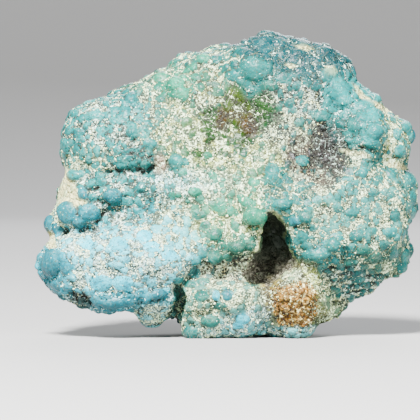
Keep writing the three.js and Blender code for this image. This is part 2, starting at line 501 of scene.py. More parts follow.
KNOBS: dict[Tint, tuple[tuple[float, ...], ...]] = {
    Tint.AQUA: (
        (72, 112, 7, 5), (95, 115, 13, 5, 0.2), (78, 133, 6, 6), (113, 120, 5, 5), (132, 98, 7, 11),
        (67, 130, 5, 6), (65, 146, 5, 10), (62, 157, 5, 6), (75, 175, 10, 6, 0.5), (125, 112, 7, 7),
        (101, 182, 7, 4), (92, 182, 5, 4), (150, 143, 8, 6, 0.3), (176, 161, 8, 8, 0.5), (186, 162, 4, 5),
        (272, 170, 8, 9, 0.3), (339, 90, 12, 13, 0.3), (343, 100, 9, 8, 0.5), (366, 105, 10, 7, 0.4),
        (375, 114, 9, 8, 0.4), (375, 132, 9, 9, 0.5), (372, 143, 9, 7, 0.4),
        (397, 134, 5, 7), (407, 126, 7, 8), (412, 137, 4, 7), (401, 151, 7, 7), (389, 152, 3, 3),
        (410, 179, 9, 10, 0.4), (413, 198, 6, 9), (413, 215, 6, 8), (363, 172, 6, 6),
        (283, 204, 11, 6, 0.4),
        (303, 161, 7, 7, 0.55), (125, 158, 6, 4), (133, 164, 5, 4), (122, 166, 6, 4), (233, 76, 6, 7, 0.3),
        (405, 235, 6, 7), (407, 255, 6, 8), (403, 268, 7, 7), (390, 232, 9, 6), (395, 255, 6, 6),
    ),
    Tint.BLUE: (
        (68, 213, 11, 12, 0.55), (90, 213, 12, 9, 0.55), (78, 222, 9, 7, 0.5), (46, 222, 6, 10),
        (55, 228, 8, 6),
        (113, 196, 10, 8, 0.5), (83, 193, 6, 7, 0.5), (50, 262, 13, 15, 0.35), (66, 268, 8, 8, 0.3),
        (55, 286, 7, 6), (67, 289, 7, 5), (95, 302, 7, 7, 0.35), (113, 303, 15, 6, 0.4),
        (130, 302, 9, 6, 0.4),
        (145, 297, 8, 8), (158, 294, 9, 6, 0.5), (296, 221, 6, 5),
        (228, 295, 6, 7, 0.25),
    ),
    Tint.SKY: (
        (118, 244, 10, 9, 0.3), (145, 235, 9, 7, 0.2),
        (101, 283, 12, 9, 0.25), (123, 283, 12, 8, 0.25),
        (243, 319, 8, 6, 0.25), (238, 326, 5, 4, 0.3), (88, 244, 8, 6, 0.15), (216, 296, 5, 5),
        (152, 246, 9, 6, 0.15), (170, 255, 9, 6, 0.15),
    ),
    Tint.MINT: (
        (160, 76, 10, 6, 0.3), (175, 82, 10, 8, 0.35), (183, 94, 6, 8, 0.35), (254, 217, 13, 9, 0.6),
        (195, 192, 8, 5), (175, 195, 6, 4), (192, 66, 6, 5), (203, 58, 8, 6), (208, 155, 5, 4),
        (220, 207, 6, 6),
        (231, 211, 5, 6), (249, 204, 9, 5), (213, 175, 5, 4), (183, 174, 6, 3), (254, 182, 6, 5),
    ),
    Tint.SEA: (
        (215, 235, 9, 7, 0.3), (238, 247, 11, 7, 0.4), (235, 226, 5, 5), (215, 258, 8, 8, 0.5),
        (203, 253, 6, 6),
        (197, 262, 6, 6), (249, 247, 8, 4, 0.4), (226, 258, 6, 5), (200, 215, 8, 5), (206, 225, 6, 4),
        (201, 296, 8, 6), (220, 306, 5, 5), (210, 321, 10, 7, 0.5), (190, 284, 7, 4), (180, 281, 7, 5),
        (203, 281, 7, 4), (270, 86, 9, 6, 0.2), (364, 251, 9, 6), (378, 258, 5, 7), (350, 263, 7, 5),
    ),
    Tint.DEEP: (
        (264, 45, 12, 12, 0.25), (304, 42, 8, 6), (326, 50, 7, 6), (242, 50, 8, 5),
        (296, 52, 8, 5), (280, 42, 8, 6),
    ),
    Tint.TEAL: (
        (254, 69, 15, 13, 0.3), (305, 217, 8, 7), (145, 165, 6, 5), (190, 333, 9, 7, 0.5),
        (374, 192, 7, 4),
        (133, 132, 8, 7), (217, 57, 7, 4), (240, 50, 8, 5), (322, 116, 10, 6, 0.3), (353, 126, 6, 8),
        (392, 173, 6, 6), (372, 164, 5, 4), (380, 178, 5, 4), (356, 182, 5, 4), (390, 195, 5, 4),
        (302, 237, 7, 6), (333, 245, 8, 8, 0.5), (357, 236, 8, 7), (315, 255, 16, 6, 0.5),
        (307, 246, 7, 6),
        (195, 273, 6, 5), (330, 75, 10, 9, 0.2), (285, 78, 8, 7, 0.2),
        (352, 212, 8, 6),
        (396, 216, 6, 6), (385, 245, 7, 5), (370, 232, 6, 5),
    ),
}

CREVICES = (
    Crevice(((104, 173), (128, 171), (148, 172), (152, 167)), 3.0, 0.5),
    Crevice(((152, 167), (152, 152), (162, 143)), 2.0, 0.3),
    Crevice(((86, 188), (110, 187)), 2.2, 0.3),
    Crevice(((84, 202), (96, 200), (106, 204), (118, 206)), 2.6, 0.45),
    Crevice(((60, 231), (85, 227), (97, 229)), 3.2, 0.8),
    Crevice(((98, 228), (99, 221), (104, 213), (112, 208)), 2.6, 0.5),
    Crevice(((126, 197), (150, 190)), 2.0, 0.25),
    Crevice(((203, 265), (215, 268), (226, 263), (238, 260), (247, 261), (256, 256)), 3.0, 0.6),
    Crevice(((197, 269), (190, 277), (181, 288)), 2.4, 0.4),
    Crevice(((179, 288), (180, 300), (177, 310), (173, 320), (172, 330)), 3.6, 0.9),
    Crevice(((151, 302), (161, 301)), 2.2, 0.4),
    Crevice(((141, 299), (141, 311)), 2.4, 0.6),
    Crevice(((70, 294), (80, 299), (88, 305)), 4.0, 0.6),
    Crevice(((325, 261), (332, 258), (342, 255), (346, 250)), 2.6, 0.5),
    Crevice(((366, 272), (386, 277)), 2.4, 0.5),
    Crevice(((336, 304), (348, 302), (362, 299)), 2.4, 0.5),
    Crevice(((360, 148), (378, 151)), 2.0, 0.3),
    Crevice(((248, 227), (264, 227)), 2.4, 0.5),
    Crevice(((294, 228), (303, 228)), 2.0, 0.3),
    Crevice(((395, 157), (402, 158)), 2.0, 0.3),
    Crevice(((322, 206), (328, 208)), 2.0, 0.3),
    Crevice(((313, 211), (309, 219)), 1.6, 0.25),
    Crevice(((211, 200), (215, 202)), 1.8, 0.25),
    Crevice(((314, 172), (318, 178)), 2.4, 0.3),
    Crevice(((322, 268), (345, 268), (372, 266)), 1.3, 0.24),
    Crevice(((322, 274), (350, 273), (380, 270)), 1.3, 0.3),
    Crevice(((324, 281), (350, 279), (378, 275)), 1.3, 0.3),
    Crevice(((326, 288), (352, 285), (374, 282)), 1.3, 0.3),
    Crevice(((330, 296), (350, 292), (370, 289)), 1.3, 0.3),
    Crevice(((336, 303), (352, 300), (366, 296)), 1.3, 0.3),
    Crevice(((299, 288), (301, 278), (305, 274), (310, 281), (309, 288)), 1.1, 0.3),
    Crevice(((169, 152), (168, 162), (166, 170)), 1.2, 0.3),
)

ZONES = (
    Zone(100, 125, 46, 30, Tint.AQUA, Tint.SLATE, 0.55, 0.46, 0.32),
    Zone(85, 158, 34, 10, Tint.AQUA, Tint.CREAM, 0.35, 0.5, 0.1),
    Zone(140, 118, 26, 20, Tint.AQUA, Tint.SLATE, 0.5, 0.52, 0.4),
    Zone(130, 158, 26, 10, Tint.TEAL, Tint.SLATE, 0.6, 0.3, 0.4),
    Zone(120, 190, 52, 16, Tint.AQUA, Tint.SLATE, 0.6, 0.35, 0.3),
    Zone(180, 185, 42, 14, Tint.AQUA, Tint.ICE, 0.35, 0.5, 0.14),
    Zone(60, 190, 13, 22, Tint.AQUA, Tint.CREAM, 0.1, 0.3, 0.02, 2.0),
    Zone(122, 218, 46, 12, Tint.AQUA, Tint.SLATE, 0.5, 0.4, 0.3),
    Zone(50, 230, 12, 22, Tint.BLUE, Tint.CREAM, 0.45, 0.4, 0.1),
    Zone(112, 255, 66, 34, Tint.SKY, Tint.ICE, 0.4, 0.66, 0.3, 1.5),
    Zone(50, 266, 16, 22, Tint.BLUE, Tint.SKY, 0.7, 0.15, 0.04, 1.5),
    Zone(120, 300, 44, 10, Tint.BLUE, Tint.SKY, 0.7, 0.28, 0.06, 1.4),
    Zone(168, 240, 30, 28, Tint.SKY, Tint.CREAM, 0.35, 0.6, 0.1),
    Zone(150, 80, 22, 14, Tint.SEA, Tint.CREAM, 0.5, 0.5, 0.14),
    Zone(178, 84, 18, 16, Tint.MINT, Tint.CREAM, 0.6, 0.3, 0.06, 1.3),
    Zone(210, 58, 30, 12, Tint.TEAL, Tint.CREAM, 0.5, 0.5, 0.16),
    Zone(212, 88, 22, 20, Tint.SEA, Tint.BUTTER, 0.3, 0.5, 0.42),
    Zone(270, 52, 34, 22, Tint.DEEP, Tint.SLATE, 0.85, 0.1, 0.14, 1.6),
    Zone(318, 60, 32, 26, Tint.DEEP, Tint.SLATE, 0.8, 0.16, 0.24, 1.5),
    Zone(254, 74, 22, 16, Tint.TEAL, Tint.SLATE, 0.9, 0.08, 0.03, 1.8),
    Zone(297, 100, 26, 24, Tint.TEAL, Tint.SLATE, 0.3, 0.56, 0.5, 2.4),
    Zone(175, 125, 28, 26, Tint.SEA, Tint.BUTTER, 0.35, 0.52, 0.18),
    Zone(236, 102, 10, 13, Tint.OLIVE, Tint.OLIVE, 0.5, 0.12, 0.4, 7.0),
    Zone(210, 118, 9, 9, Tint.GREEN, Tint.GREEN, 0.5, 0.12, 0.35, 6.0),
    Zone(194, 127, 12, 8, Tint.OLIVE, Tint.BUTTER, 0.3, 0.5, 0.3, 3.0),
    Zone(242, 142, 7, 10, Tint.GREEN, Tint.OLIVE, 0.5, 0.12, 0.35, 7.0),
    Zone(267, 112, 12, 16, Tint.GREEN, Tint.GREEN, 0.5, 0.14, 0.4, 7.0),
    Zone(221, 121, 5, 7, Tint.BROWN, Tint.BROWN, 0.3, 0.1, 0.6, 9.0),
    Zone(249, 126, 7, 9, Tint.BROWN, Tint.BROWN, 0.3, 0.1, 0.6, 9.0),
    Zone(234, 115, 8, 4, Tint.BROWN, Tint.TAN, 0.5, 0.25, 0.7, 4.0),
    Zone(215, 145, 28, 16, Tint.GREEN, Tint.BUTTER, 0.3, 0.46, 0.2),
    Zone(205, 152, 9, 7, Tint.GREEN, Tint.GREEN, 0.5, 0.3, 0.06, 1.6),
    Zone(250, 158, 34, 18, Tint.SEA, Tint.BUTTER, 0.3, 0.52, 0.18),
    Zone(285, 132, 18, 20, Tint.TEAL, Tint.CREAM, 0.2, 0.52, 0.45),
    Zone(347, 132, 16, 28, Tint.TEAL, Tint.SLATE, 0.7, 0.2, 0.35, 1.6),
    Zone(329, 152, 14, 20, Tint.SOOT, Tint.SOOT, 0.45, 0.28, 0.8, 12.0),
    Zone(295, 152, 8, 12, Tint.SOOT, Tint.PINK, 0.2, 0.32, 0.8, 7.0),
    Zone(316, 176, 14, 9, Tint.SLATE, Tint.PINK, 0.2, 0.45, 0.65, 4.0),
    Zone(344, 98, 18, 18, Tint.AQUA, Tint.AQUA, 0.8, 0.12, 0.08, 2.4),
    Zone(373, 122, 12, 24, Tint.AQUA, Tint.AQUA, 0.8, 0.1, 0.05, 2.4),
    Zone(392, 140, 14, 30, Tint.AQUA, Tint.BUTTER, 0.4, 0.5, 0.12, 1.8),
    Zone(366, 160, 24, 12, Tint.TEAL, Tint.CREAM, 0.45, 0.48, 0.2),
    Zone(398, 196, 22, 34, Tint.AQUA, Tint.CREAM, 0.6, 0.52, 0.12, 1.2),
    Zone(345, 194, 34, 14, Tint.AQUA, Tint.CREAM, 0.5, 0.5, 0.22),
    Zone(355, 222, 40, 24, Tint.AQUA, Tint.CREAM, 0.6, 0.52, 0.22, 1.2),
    Zone(290, 205, 24, 26, Tint.TEAL, Tint.CREAM, 0.55, 0.35, 0.12, 1.2),
    Zone(320, 212, 15, 11, Tint.AQUA, Tint.CREAM, 0.35, 0.62, 0.32, 1.6),
    Zone(328, 248, 30, 13, Tint.AQUA, Tint.CREAM, 0.65, 0.3, 0.1, 1.3),
    Zone(386, 258, 26, 16, Tint.SEA, Tint.CREAM, 0.5, 0.45, 0.1),
    Zone(352, 282, 34, 18, Tint.TEAL, Tint.SLATE, 0.4, 0.58, 0.26, 1.5),
    Zone(325, 300, 14, 18, Tint.SEA, Tint.BUTTER, 0.2, 0.55, 0.12, 1.4),
    Zone(316, 323, 10, 8, Tint.GREEN, Tint.OLIVE, 0.3, 0.3, 0.25, 1.6),
    Zone(295, 304, 24, 25, Tint.TAN, Tint.OCHRE, 0.3, 0.26, 0.5, 6.0),
    Zone(292, 332, 26, 5, Tint.AQUA, Tint.ICE, 0.4, 0.6, 0.25, 16.0),
    Zone(291, 276, 9, 6, Tint.CREAM, Tint.CREAM, 0.2, 0.6, 0.35, 4.0),
    Zone(212, 190, 40, 22, Tint.MINT, Tint.CREAM, 0.35, 0.54, 0.16),
    Zone(225, 225, 30, 24, Tint.MINT, Tint.BUTTER, 0.42, 0.54, 0.06, 1.2),
    Zone(236, 246, 26, 12, Tint.SEA, Tint.SEA, 0.6, 0.3, 0.1, 1.4),
    Zone(250, 212, 18, 14, Tint.MINT, Tint.BUTTER, 0.5, 0.35, 0.04, 1.2),
    Zone(228, 272, 34, 9, Tint.SLATE, Tint.PINK, 0.15, 0.5, 0.35, 1.4),
    Zone(215, 302, 38, 20, Tint.AQUA, Tint.CREAM, 0.4, 0.6, 0.16, 1.2),
    Zone(250, 320, 36, 14, Tint.AQUA, Tint.ICE, 0.4, 0.58, 0.2, 1.2),
    Zone(152, 317, 15, 10, Tint.ICE, Tint.ICE, 0.1, 0.95, 0.35, 9.0),
    Zone(160, 163, 6, 9, Tint.PINK, Tint.PINK, 0.2, 0.3, 0.2, 3.0),
    Zone(80, 300, 12, 8, Tint.SLATE, Tint.HOLLOW, 0.1, 0.4, 0.5, 2.4),
)
PATCHES = (
    Patch(
        (
            (64, 167), (69, 172), (72, 180), (76, 190), (80, 197), (87, 201), (80, 204), (75, 210),
            (70, 202), (64, 200), (57, 205), (56, 196), (60, 185), (61, 175),
        ),
        Tint.IVORY, 0.1, 0.03,
    ),
    Patch(((45, 236), (50, 230), (55, 238), (57, 247), (49, 248), (43, 243)), Tint.IVORY, 0.2, 0.05),
    Patch(((155, 158), (160, 154), (165, 158), (167, 169), (162, 172), (156, 168)), Tint.PINK, 0.2, 0.1),
    Patch(((302, 286), (303, 280), (305, 277), (308, 281), (308, 286)), Tint.IVORY, 0.0, 0.1),
    Patch(((325, 66), (333, 66), (338, 72), (334, 75), (326, 72)), Tint.IVORY, 0.4, 0.02),
    Patch(((284, 64), (292, 63), (297, 66), (290, 68)), Tint.IVORY, 0.3, 0.02),
    Patch(((297, 45), (309, 46), (314, 50), (304, 50)), Tint.IVORY, 0.3, 0.1),
    Patch(
        ((352, 84), (366, 96), (378, 103), (391, 110), (386, 113), (374, 106), (362, 99)),
        Tint.IVORY, 0.2, 0.1,
    ),
    Patch(((340, 149), (352, 151), (366, 153), (370, 157), (356, 157), (344, 153)), Tint.IVORY, 0.4, 0.1),
    Patch(((388, 160), (400, 163), (408, 169), (398, 170), (388, 166)), Tint.IVORY, 0.3, 0.08),
    Patch(
        ((300, 266), (316, 268), (322, 280), (318, 296), (322, 310), (314, 300), (308, 278)),
        Tint.BUTTER, 0.4, 0.1,
    ),
)
POCKET = Pocket(
    rim=(
        (266, 212), (275, 213), (280, 219), (286, 229), (284, 236), (289, 246), (293, 257), (300, 265),
        (290, 270), (280, 277), (268, 287), (250, 284), (242, 275), (250, 262), (259, 248), (262, 232),
    ),
    mouth=(-0.4, 1.6),
    turned=(-0.6, -0.1),
    lip=(2.6, 0.8),
    lip_out=0.8,
    lip_foot=(285.0, 260.0),
    lip_breaks=Clouds(36, 1.2, 2, -0.4, 0.3),
    slopes=(
        Brink(258.0, 262.0, -0.8, 1.0, -8.0, 10.0),
        Brink(284.0, 256.0, 0.9, 0.6, 0.0, 10.0),
    ),
    slope_rows=(236.0, 276.0),
    crumbs=Clouds(39, 0.6, 2, -0.1, 0.4),
    crumb_share=0.6,
)
STAIN = Stain(
    oval=Oval(295, 304, 26, 27),
    edge=(0.7, 1.0),
    foot=(327.0, 324.0),
    gold_aside=(8.0, 15.0),
    gold_top=(293.0, 301.0),
    gold_foot=(322.0, 317.0),
    gold_sway=3.0,
    blotches=Clouds(35, 0.55, 2, -0.25, 0.25),
)
LAYERING = Layering(
    oval=Oval(352, 280, 36, 24),
    edge=(0.75, 1.1),
    pace=0.95,
    slant=0.14,
    sway=1.8,
    frost=0.3,
    soot=0.25,
)
FINE_STIR = Stir((3, 4), 1.4, 0.8, 2)
WIDE_STIR = Stir((5, 6), 6.0, 2.0, 3)
BACK_BLUE = Clouds(31, 5.0, 3, -0.25, 0.25)
BACK_PALE = Clouds(32, 6.0, 3, -0.1, 0.3)
BACK_TAN = Clouds(33, 5.0, 3, 0.25, 0.5)
OPEN_CRACKS = Clouds(44, 0.7, 3, -0.5, 0.3)
WHOLE_THREADS = Clouds(72, 1.1, 3, -0.15, 0.2)


def distance_to(places: Places, line: Line) -> np.ndarray:
    """Measures how far places lie from a line of the view.

    Args:
        places: where each point shows in the view.
        line: the line's corners.

    Returns:
        A distance in pixels for each point.
    """
    across, down = places
    nearest = np.full(len(across), 1e9)
    for (a0, d0), (a1, d1) in zip(line, line[1:]):
        run, fall = a1 - a0, d1 - d0
        share = np.clip(((across - a0) * run + (down - d0) * fall) / (run**2 + fall**2), 0, 1)
        nearest = np.minimum(nearest, np.hypot(across - a0 - share * run, down - d0 - share * fall))
    return nearest


def depth_within(places: Places, sides: Places, ring: Line) -> np.ndarray:
    """Measures how far places lie within an outline of the view.

    Args:
        places: where each point shows in the view, from which its distance is taken.
        sides: the same, from which the side of the outline is taken.
        ring: the outline's corners.

    Returns:
        A distance in pixels for each point, below 0 outside.
    """
    closed = ring + ring[:1]
    across, down = sides
    within = np.zeros(len(across), dtype=bool)
    for (a0, d0), (a1, d1) in zip(closed, closed[1:]):
        spans = (down < d0) != (down < d1)
        crossing = a0 + (a1 - a0) * (down - d0) / (d1 - d0 if d1 != d0 else 1.0)
        within ^= spans & (across < crossing)
    away = distance_to(places, closed)
    return np.where(within, away, -away)


@dataclass
class Skin:
    """The stone's surface as arrays, in mm, with the numbers that its finish needs.

    Attributes:
        points: one row for each vertex.
        faces: four vertices for each face.
        edges: the two ends of each edge.
        fields: the numbers, with one or one row for each vertex, by name.
    """

    points: np.ndarray
    faces: np.ndarray
    edges: np.ndarray
    fields: dict[str, np.ndarray] = field(default_factory=dict)

    def normals(self) -> np.ndarray:
        """Works out which way the surface faces.

        Returns:
            The unit normal of each vertex.
        """
        corner = self.points[self.faces]
        flat = np.cross(corner[:, 2] - corner[:, 0], corner[:, 3] - corner[:, 1])
        total = np.zeros_like(self.points)
        for axis in range(3):
            pushes = np.repeat(flat[:, axis], 4)
            total[:, axis] = np.bincount(self.faces.ravel(), pushes, len(self.points))
        return total / np.maximum(np.linalg.norm(total, axis=1, keepdims=True), 1e-12)

    def averaged(self, values: np.ndarray, rounds: int) -> np.ndarray:
        """Spreads values over each vertex's neighbours.

        Args:
            values: one number or one row for each vertex.
            rounds: how many times to spread them.

        Returns:
            The spread values.
        """
        rows = values.reshape(len(self.points), -1).astype(float)
        ends = np.concatenate([self.edges[:, 0], self.edges[:, 1]])
        others = np.concatenate([self.edges[:, 1], self.edges[:, 0]])
        count = np.bincount(ends, minlength=len(rows))[:, None]
        for _ in range(rounds):
            around = np.stack([np.bincount(ends, col[others], len(rows)) for col in rows.T], axis=1)
            rows = 0.5 * rows + 0.5 * around / np.maximum(count, 1)
        return rows.reshape(values.shape)


@dataclass
class Nugget:
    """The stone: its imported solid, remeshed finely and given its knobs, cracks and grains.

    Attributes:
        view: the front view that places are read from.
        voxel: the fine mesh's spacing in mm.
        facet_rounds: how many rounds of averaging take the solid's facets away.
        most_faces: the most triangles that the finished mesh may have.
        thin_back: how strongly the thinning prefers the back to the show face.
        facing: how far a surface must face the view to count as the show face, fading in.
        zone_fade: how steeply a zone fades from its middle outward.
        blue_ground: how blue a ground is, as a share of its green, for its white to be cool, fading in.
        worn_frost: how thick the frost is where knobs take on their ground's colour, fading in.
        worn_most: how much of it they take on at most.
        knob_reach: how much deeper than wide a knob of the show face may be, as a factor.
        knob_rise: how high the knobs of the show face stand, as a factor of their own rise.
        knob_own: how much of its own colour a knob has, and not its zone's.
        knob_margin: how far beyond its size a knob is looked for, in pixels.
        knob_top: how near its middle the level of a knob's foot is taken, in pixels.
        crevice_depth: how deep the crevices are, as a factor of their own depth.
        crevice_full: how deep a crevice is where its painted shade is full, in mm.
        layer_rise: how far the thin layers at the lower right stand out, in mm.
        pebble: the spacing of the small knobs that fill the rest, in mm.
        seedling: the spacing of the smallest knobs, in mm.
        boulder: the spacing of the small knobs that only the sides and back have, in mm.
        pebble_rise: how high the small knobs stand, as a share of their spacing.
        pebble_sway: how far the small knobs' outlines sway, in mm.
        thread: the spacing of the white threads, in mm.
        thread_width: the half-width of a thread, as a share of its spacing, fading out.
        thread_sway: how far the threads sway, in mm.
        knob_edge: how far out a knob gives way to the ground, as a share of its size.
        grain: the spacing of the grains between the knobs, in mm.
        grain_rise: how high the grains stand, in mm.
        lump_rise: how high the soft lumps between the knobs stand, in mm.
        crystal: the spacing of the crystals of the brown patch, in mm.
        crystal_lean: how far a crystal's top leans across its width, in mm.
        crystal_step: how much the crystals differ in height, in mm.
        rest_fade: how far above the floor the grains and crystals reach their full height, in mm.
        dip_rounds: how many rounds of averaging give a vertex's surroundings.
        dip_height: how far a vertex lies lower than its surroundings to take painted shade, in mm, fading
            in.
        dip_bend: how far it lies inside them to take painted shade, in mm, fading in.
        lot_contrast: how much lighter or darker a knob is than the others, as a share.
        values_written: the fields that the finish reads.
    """

    view: View
    voxel: float = 0.16
    facet_rounds: int = 14
    most_faces: int = 196000
    thin_back: float = 5e-6
    facing: Span = (-0.35, 0.1)
    zone_fade: float = 2.0
    blue_ground: Span = (0.6, 1.0)
    worn_frost: Span = (0.46, 0.62)
    worn_most: float = 0.4
    knob_reach: float = 1.7
    knob_rise: float = 1.25
    knob_own: float = 0.75
    knob_margin: float = 4.0
    knob_top: float = 1.5
    crevice_depth: float = 1.2
    crevice_full: float = 0.7
    layer_rise: float = 0.09
    pebble: float = 0.95
    seedling: float = 0.52
    boulder: float = 1.615
    pebble_rise: float = 0.3
    pebble_sway: float = 0.16
    thread: float = 0.8
    thread_width: Span = (0.05, 0.16)
    thread_sway: float = 0.5
    knob_edge: Span = (0.84, 1.0)
    grain: float = 0.36
    grain_rise: float = 0.10
    lump_rise: float = 0.07
    crystal: float = 0.55
    crystal_lean: float = 0.55
    crystal_step: float = 0.22
    rest_fade: float = 0.25
    dip_rounds: int = 6
    dip_height: Span = (0.03, 0.16)
    dip_bend: Span = (0.05, 0.22)
    lot_contrast: float = 0.14
    values_written: tuple[str, ...] = (
        "knob", "share", "frost", "soot", "cavity_shade", "hollow", "slope", "cool",
    )

    def build(self) -> tuple[bpy.types.Object, Skin]:
        """Makes the stone's mesh with its colours.

        Returns:
            The stone's object and its surface.
        """
        skin = self._remeshed()
        self._lay_out(skin)
        self._raise_knobs(skin)
        self._roughen(skin)
        self._paint(skin)
        return self._object(skin), skin

    def _remeshed(self) -> Skin:
        """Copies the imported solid, remeshes it finely and takes its facets away.

        Returns:
            The smooth surface.
        """
        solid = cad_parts["nugget"]
        mesh = solid.data.copy()
        mesh.transform(Matrix.Scale(1 / MM, 4) @ solid.matrix_world)
        rough = bpy.data.objects.new("rough", mesh)
        bpy.context.scene.collection.objects.link(rough)
        remesh = rough.modifiers.new("remesh", "REMESH")
        remesh.mode = "VOXEL"
        remesh.voxel_size = self.voxel
        fine = rough.evaluated_get(bpy.context.evaluated_depsgraph_get()).to_mesh()
        points = np.empty(len(fine.vertices) * 3)
        fine.vertices.foreach_get("co", points)
        faces = np.empty(len(fine.loops), dtype=np.int32)
        fine.loops.foreach_get("vertex_index", faces)
        edges = np.empty(len(fine.edges) * 2, dtype=np.int32)
        fine.edges.foreach_get("vertices", edges)
        skin = Skin(points.reshape(-1, 3), faces.reshape(-1, 4), edges.reshape(-1, 2))
        bpy.data.objects.remove(rough)
        bpy.data.meshes.remove(mesh)
        skin.points = skin.averaged(skin.points, self.facet_rounds)
        return skin

    def _lay_out(self, skin: Skin) -> None:
        """Finds where each vertex shows in the view, and gives it the colours of what lies there.

        Args:
            skin: the surface, whose fields are filled in.
        """
        facing = -(skin.normals() @ self.view.forward)
        places = self.view.project(skin.points)
        wide = WIDE_STIR.moved(skin.points, places)
        skin.fields["across"], skin.fields["down"] = FINE_STIR.moved(skin.points, places)
        skin.fields["front"] = smoothstep(*self.facing, facing)
        self._lay_zones(skin, wide)
        self._lay_stain(skin, places, wide)
        self._lay_patches(skin)
        self._lay_layers(skin, places, wide)
        ground = skin.fields["ground"]
        skin.fields["cool"] = smoothstep(*self.blue_ground, ground[:, 2] / np.maximum(ground[:, 1], 1e-3))
        self._lay_pocket(skin, places, facing)

    def _lay_zones(self, skin: Skin, wide: Places) -> None:
        """Mixes the zones' colours and shares over the show face, and the clouds of the back behind.

        Args:
            skin: the surface, whose fields are filled in.
            wide: where each vertex shows in the view, widely stirred.
        """
        total = np.full(len(skin.points), 1e-6)
        mixed = dict.fromkeys(("stone", "ground", "share", "frost", "soot"), 0.0)
        for zone in ZONES:
            weight = zone.weight * np.exp(-self.zone_fade * zone.reach(wide) ** 2)
            total += weight
            for name in ("stone", "ground"):
                mixed[name] = mixed[name] + weight[:, None] * getattr(zone, name).linear()
            for name in ("share", "frost", "soot"):
                mixed[name] = mixed[name] + weight * getattr(zone, name)
        for name, back in self._back(skin.points).items():
            value = mixed[name] / (total[:, None] if back.ndim == 2 else total)
            skin.fields[name] = blend(back, value, skin.fields["front"])

    def _back(self, points: np.ndarray) -> dict[str, np.ndarray]:
        """Works out the colours and shares of the sides and back, in clouds a few millimetres wide.

        Args:
            points: places in mm, one row each.

        Returns:
            A colour or a number for each point, by name.
        """
        pale, warm = BACK_PALE.at(points), BACK_TAN.at(points)
        stone = blend(Tint.TEAL.linear(), Tint.BLUE.linear(), BACK_BLUE.at(points))
        stone = blend(stone, Tint.AQUA.linear(), 0.4 * pale)
        ground = blend(Tint.SLATE.linear(), Tint.CREAM.linear(), pale)
        ground = blend(ground, 0.5 * Tint.TAN.linear() + 0.5 * Tint.BROWN.linear(), warm)
        share = 0.62 - 0.3 * pale - 0.2 * warm
        frost = 0.3 + 0.3 * pale
        soot = 0.1 + 0.14 * warm + 0.08 * (1 - pale)
        return {"stone": stone, "ground": ground, "share": share, "frost": frost, "soot": soot}

    def _lay_stain(self, skin: Skin, places: Places, wide: Places) -> None:
        """Colours the brown patch.

        Args:
            skin: the surface, whose fields are filled in.
            places: where each vertex shows in the view.
            wide: the same, widely stirred.
        """
        across, down = places
        sway = STAIN.gold_sway * Noise(38).smooth(skin.points, 0.8, 2)
        aside = np.abs(across - STAIN.oval.across) + sway
        gold = smoothstep(*STAIN.gold_aside, aside)
        gold = gold * smoothstep(*STAIN.gold_top, down) * smoothstep(*STAIN.gold_foot, down)
        amber = blend(Tint.BROWN.linear(), Tint.TAN.linear(), STAIN.blotches.at(skin.points))
        amber = blend(amber, Tint.GOLD.linear(), gold)
        rust = skin.fields["front"] * (1 - smoothstep(*STAIN.edge, STAIN.oval.reach(wide)))
        rust = rust * smoothstep(*STAIN.foot, skin.fields["down"])
        for name in ("stone", "ground"):
            skin.fields[name] = blend(skin.fields[name], amber, rust)
        skin.fields["rust"] = rust
        skin.fields["gold"] = gold

    def _lay_patches(self, skin: Skin) -> None:
        """Colours the patches with clear edges.

        Args:
            skin: the surface, whose fields are filled in.
        """
        places = (skin.fields["across"], skin.fields["down"])
        for patch in PATCHES:
            cover = smoothstep(-1.2, 0.8, depth_within(places, places, patch.ring)) * skin.fields["front"]
            for name, value in (("share", 0.0), ("frost", patch.frost), ("soot", patch.soot)):
                skin.fields[name] = blend(skin.fields[name], value, cover)
            for name in ("stone", "ground"):
                skin.fields[name] = blend(skin.fields[name], patch.tint.linear(), cover)

    def _lay_layers(self, skin: Skin, places: Places, wide: Places) -> None:
        """Lays the thin layers at the lower right, whose crests are whiter and cleaner.

        Args:
            skin: the surface, whose fields are filled in.
            places: where each vertex shows in the view.
            wide: the same, widely stirred.
        """
        across, down = places
        sway = LAYERING.sway * Noise(37).smooth(skin.points, 2.5, 2)
        layers = np.sin(LAYERING.pace * (down + LAYERING.slant * across) + sway)
        within = 1 - smoothstep(*LAYERING.edge, LAYERING.oval.reach(wide))
        layers = layers * skin.fields["front"] * within
        skin.fields["layers"] = layers
        skin.fields["frost"] = np.clip(skin.fields["frost"] + LAYERING.frost * layers, 0, 1)
        skin.fields["soot"] = np.clip(skin.fields["soot"] - LAYERING.soot * layers, 0, 1)

    def _lay_pocket(self, skin: Skin, places: Places, facing: np.ndarray) -> None:
        """Paints shade into the pocket's depth, gives it its ivory lip and lets its floor climb out of the
        painted shade.

        Args:
            skin: the surface, whose fields are filled in.
            places: where each vertex shows in the view.
            facing: how far each vertex faces the view, from -1 to 1.
        """
        down = places[1]
        depth = depth_within((skin.fields["across"], skin.fields["down"]), places, POCKET.rim)
        lip = smoothstep(*POCKET.lip, np.abs(depth + POCKET.lip_out)) * skin.fields["front"]
        lip = lip * smoothstep(*POCKET.lip_foot, down) * POCKET.lip_breaks.at(skin.points)
        for name in ("stone", "ground"):
            skin.fields[name] = blend(skin.fields[name], Tint.IVORY.linear(), lip)
        lower_left, lower_right = (brink.past(places) for brink in POCKET.slopes)
        slope = np.maximum(lower_left, lower_right)
        crumbs = POCKET.crumb_share * slope * POCKET.crumbs.at(skin.points)
        # painted shade in the pocket's depth, lifted where pale crumbs lie
        hollow = smoothstep(*POCKET.mouth, depth) * smoothstep(*POCKET.turned, facing)
        skin.fields["hollow"] = hollow * (1 - crumbs)
        skin.fields["slope"] = np.maximum(slope, 0.5 * smoothstep(*POCKET.slope_rows, down))

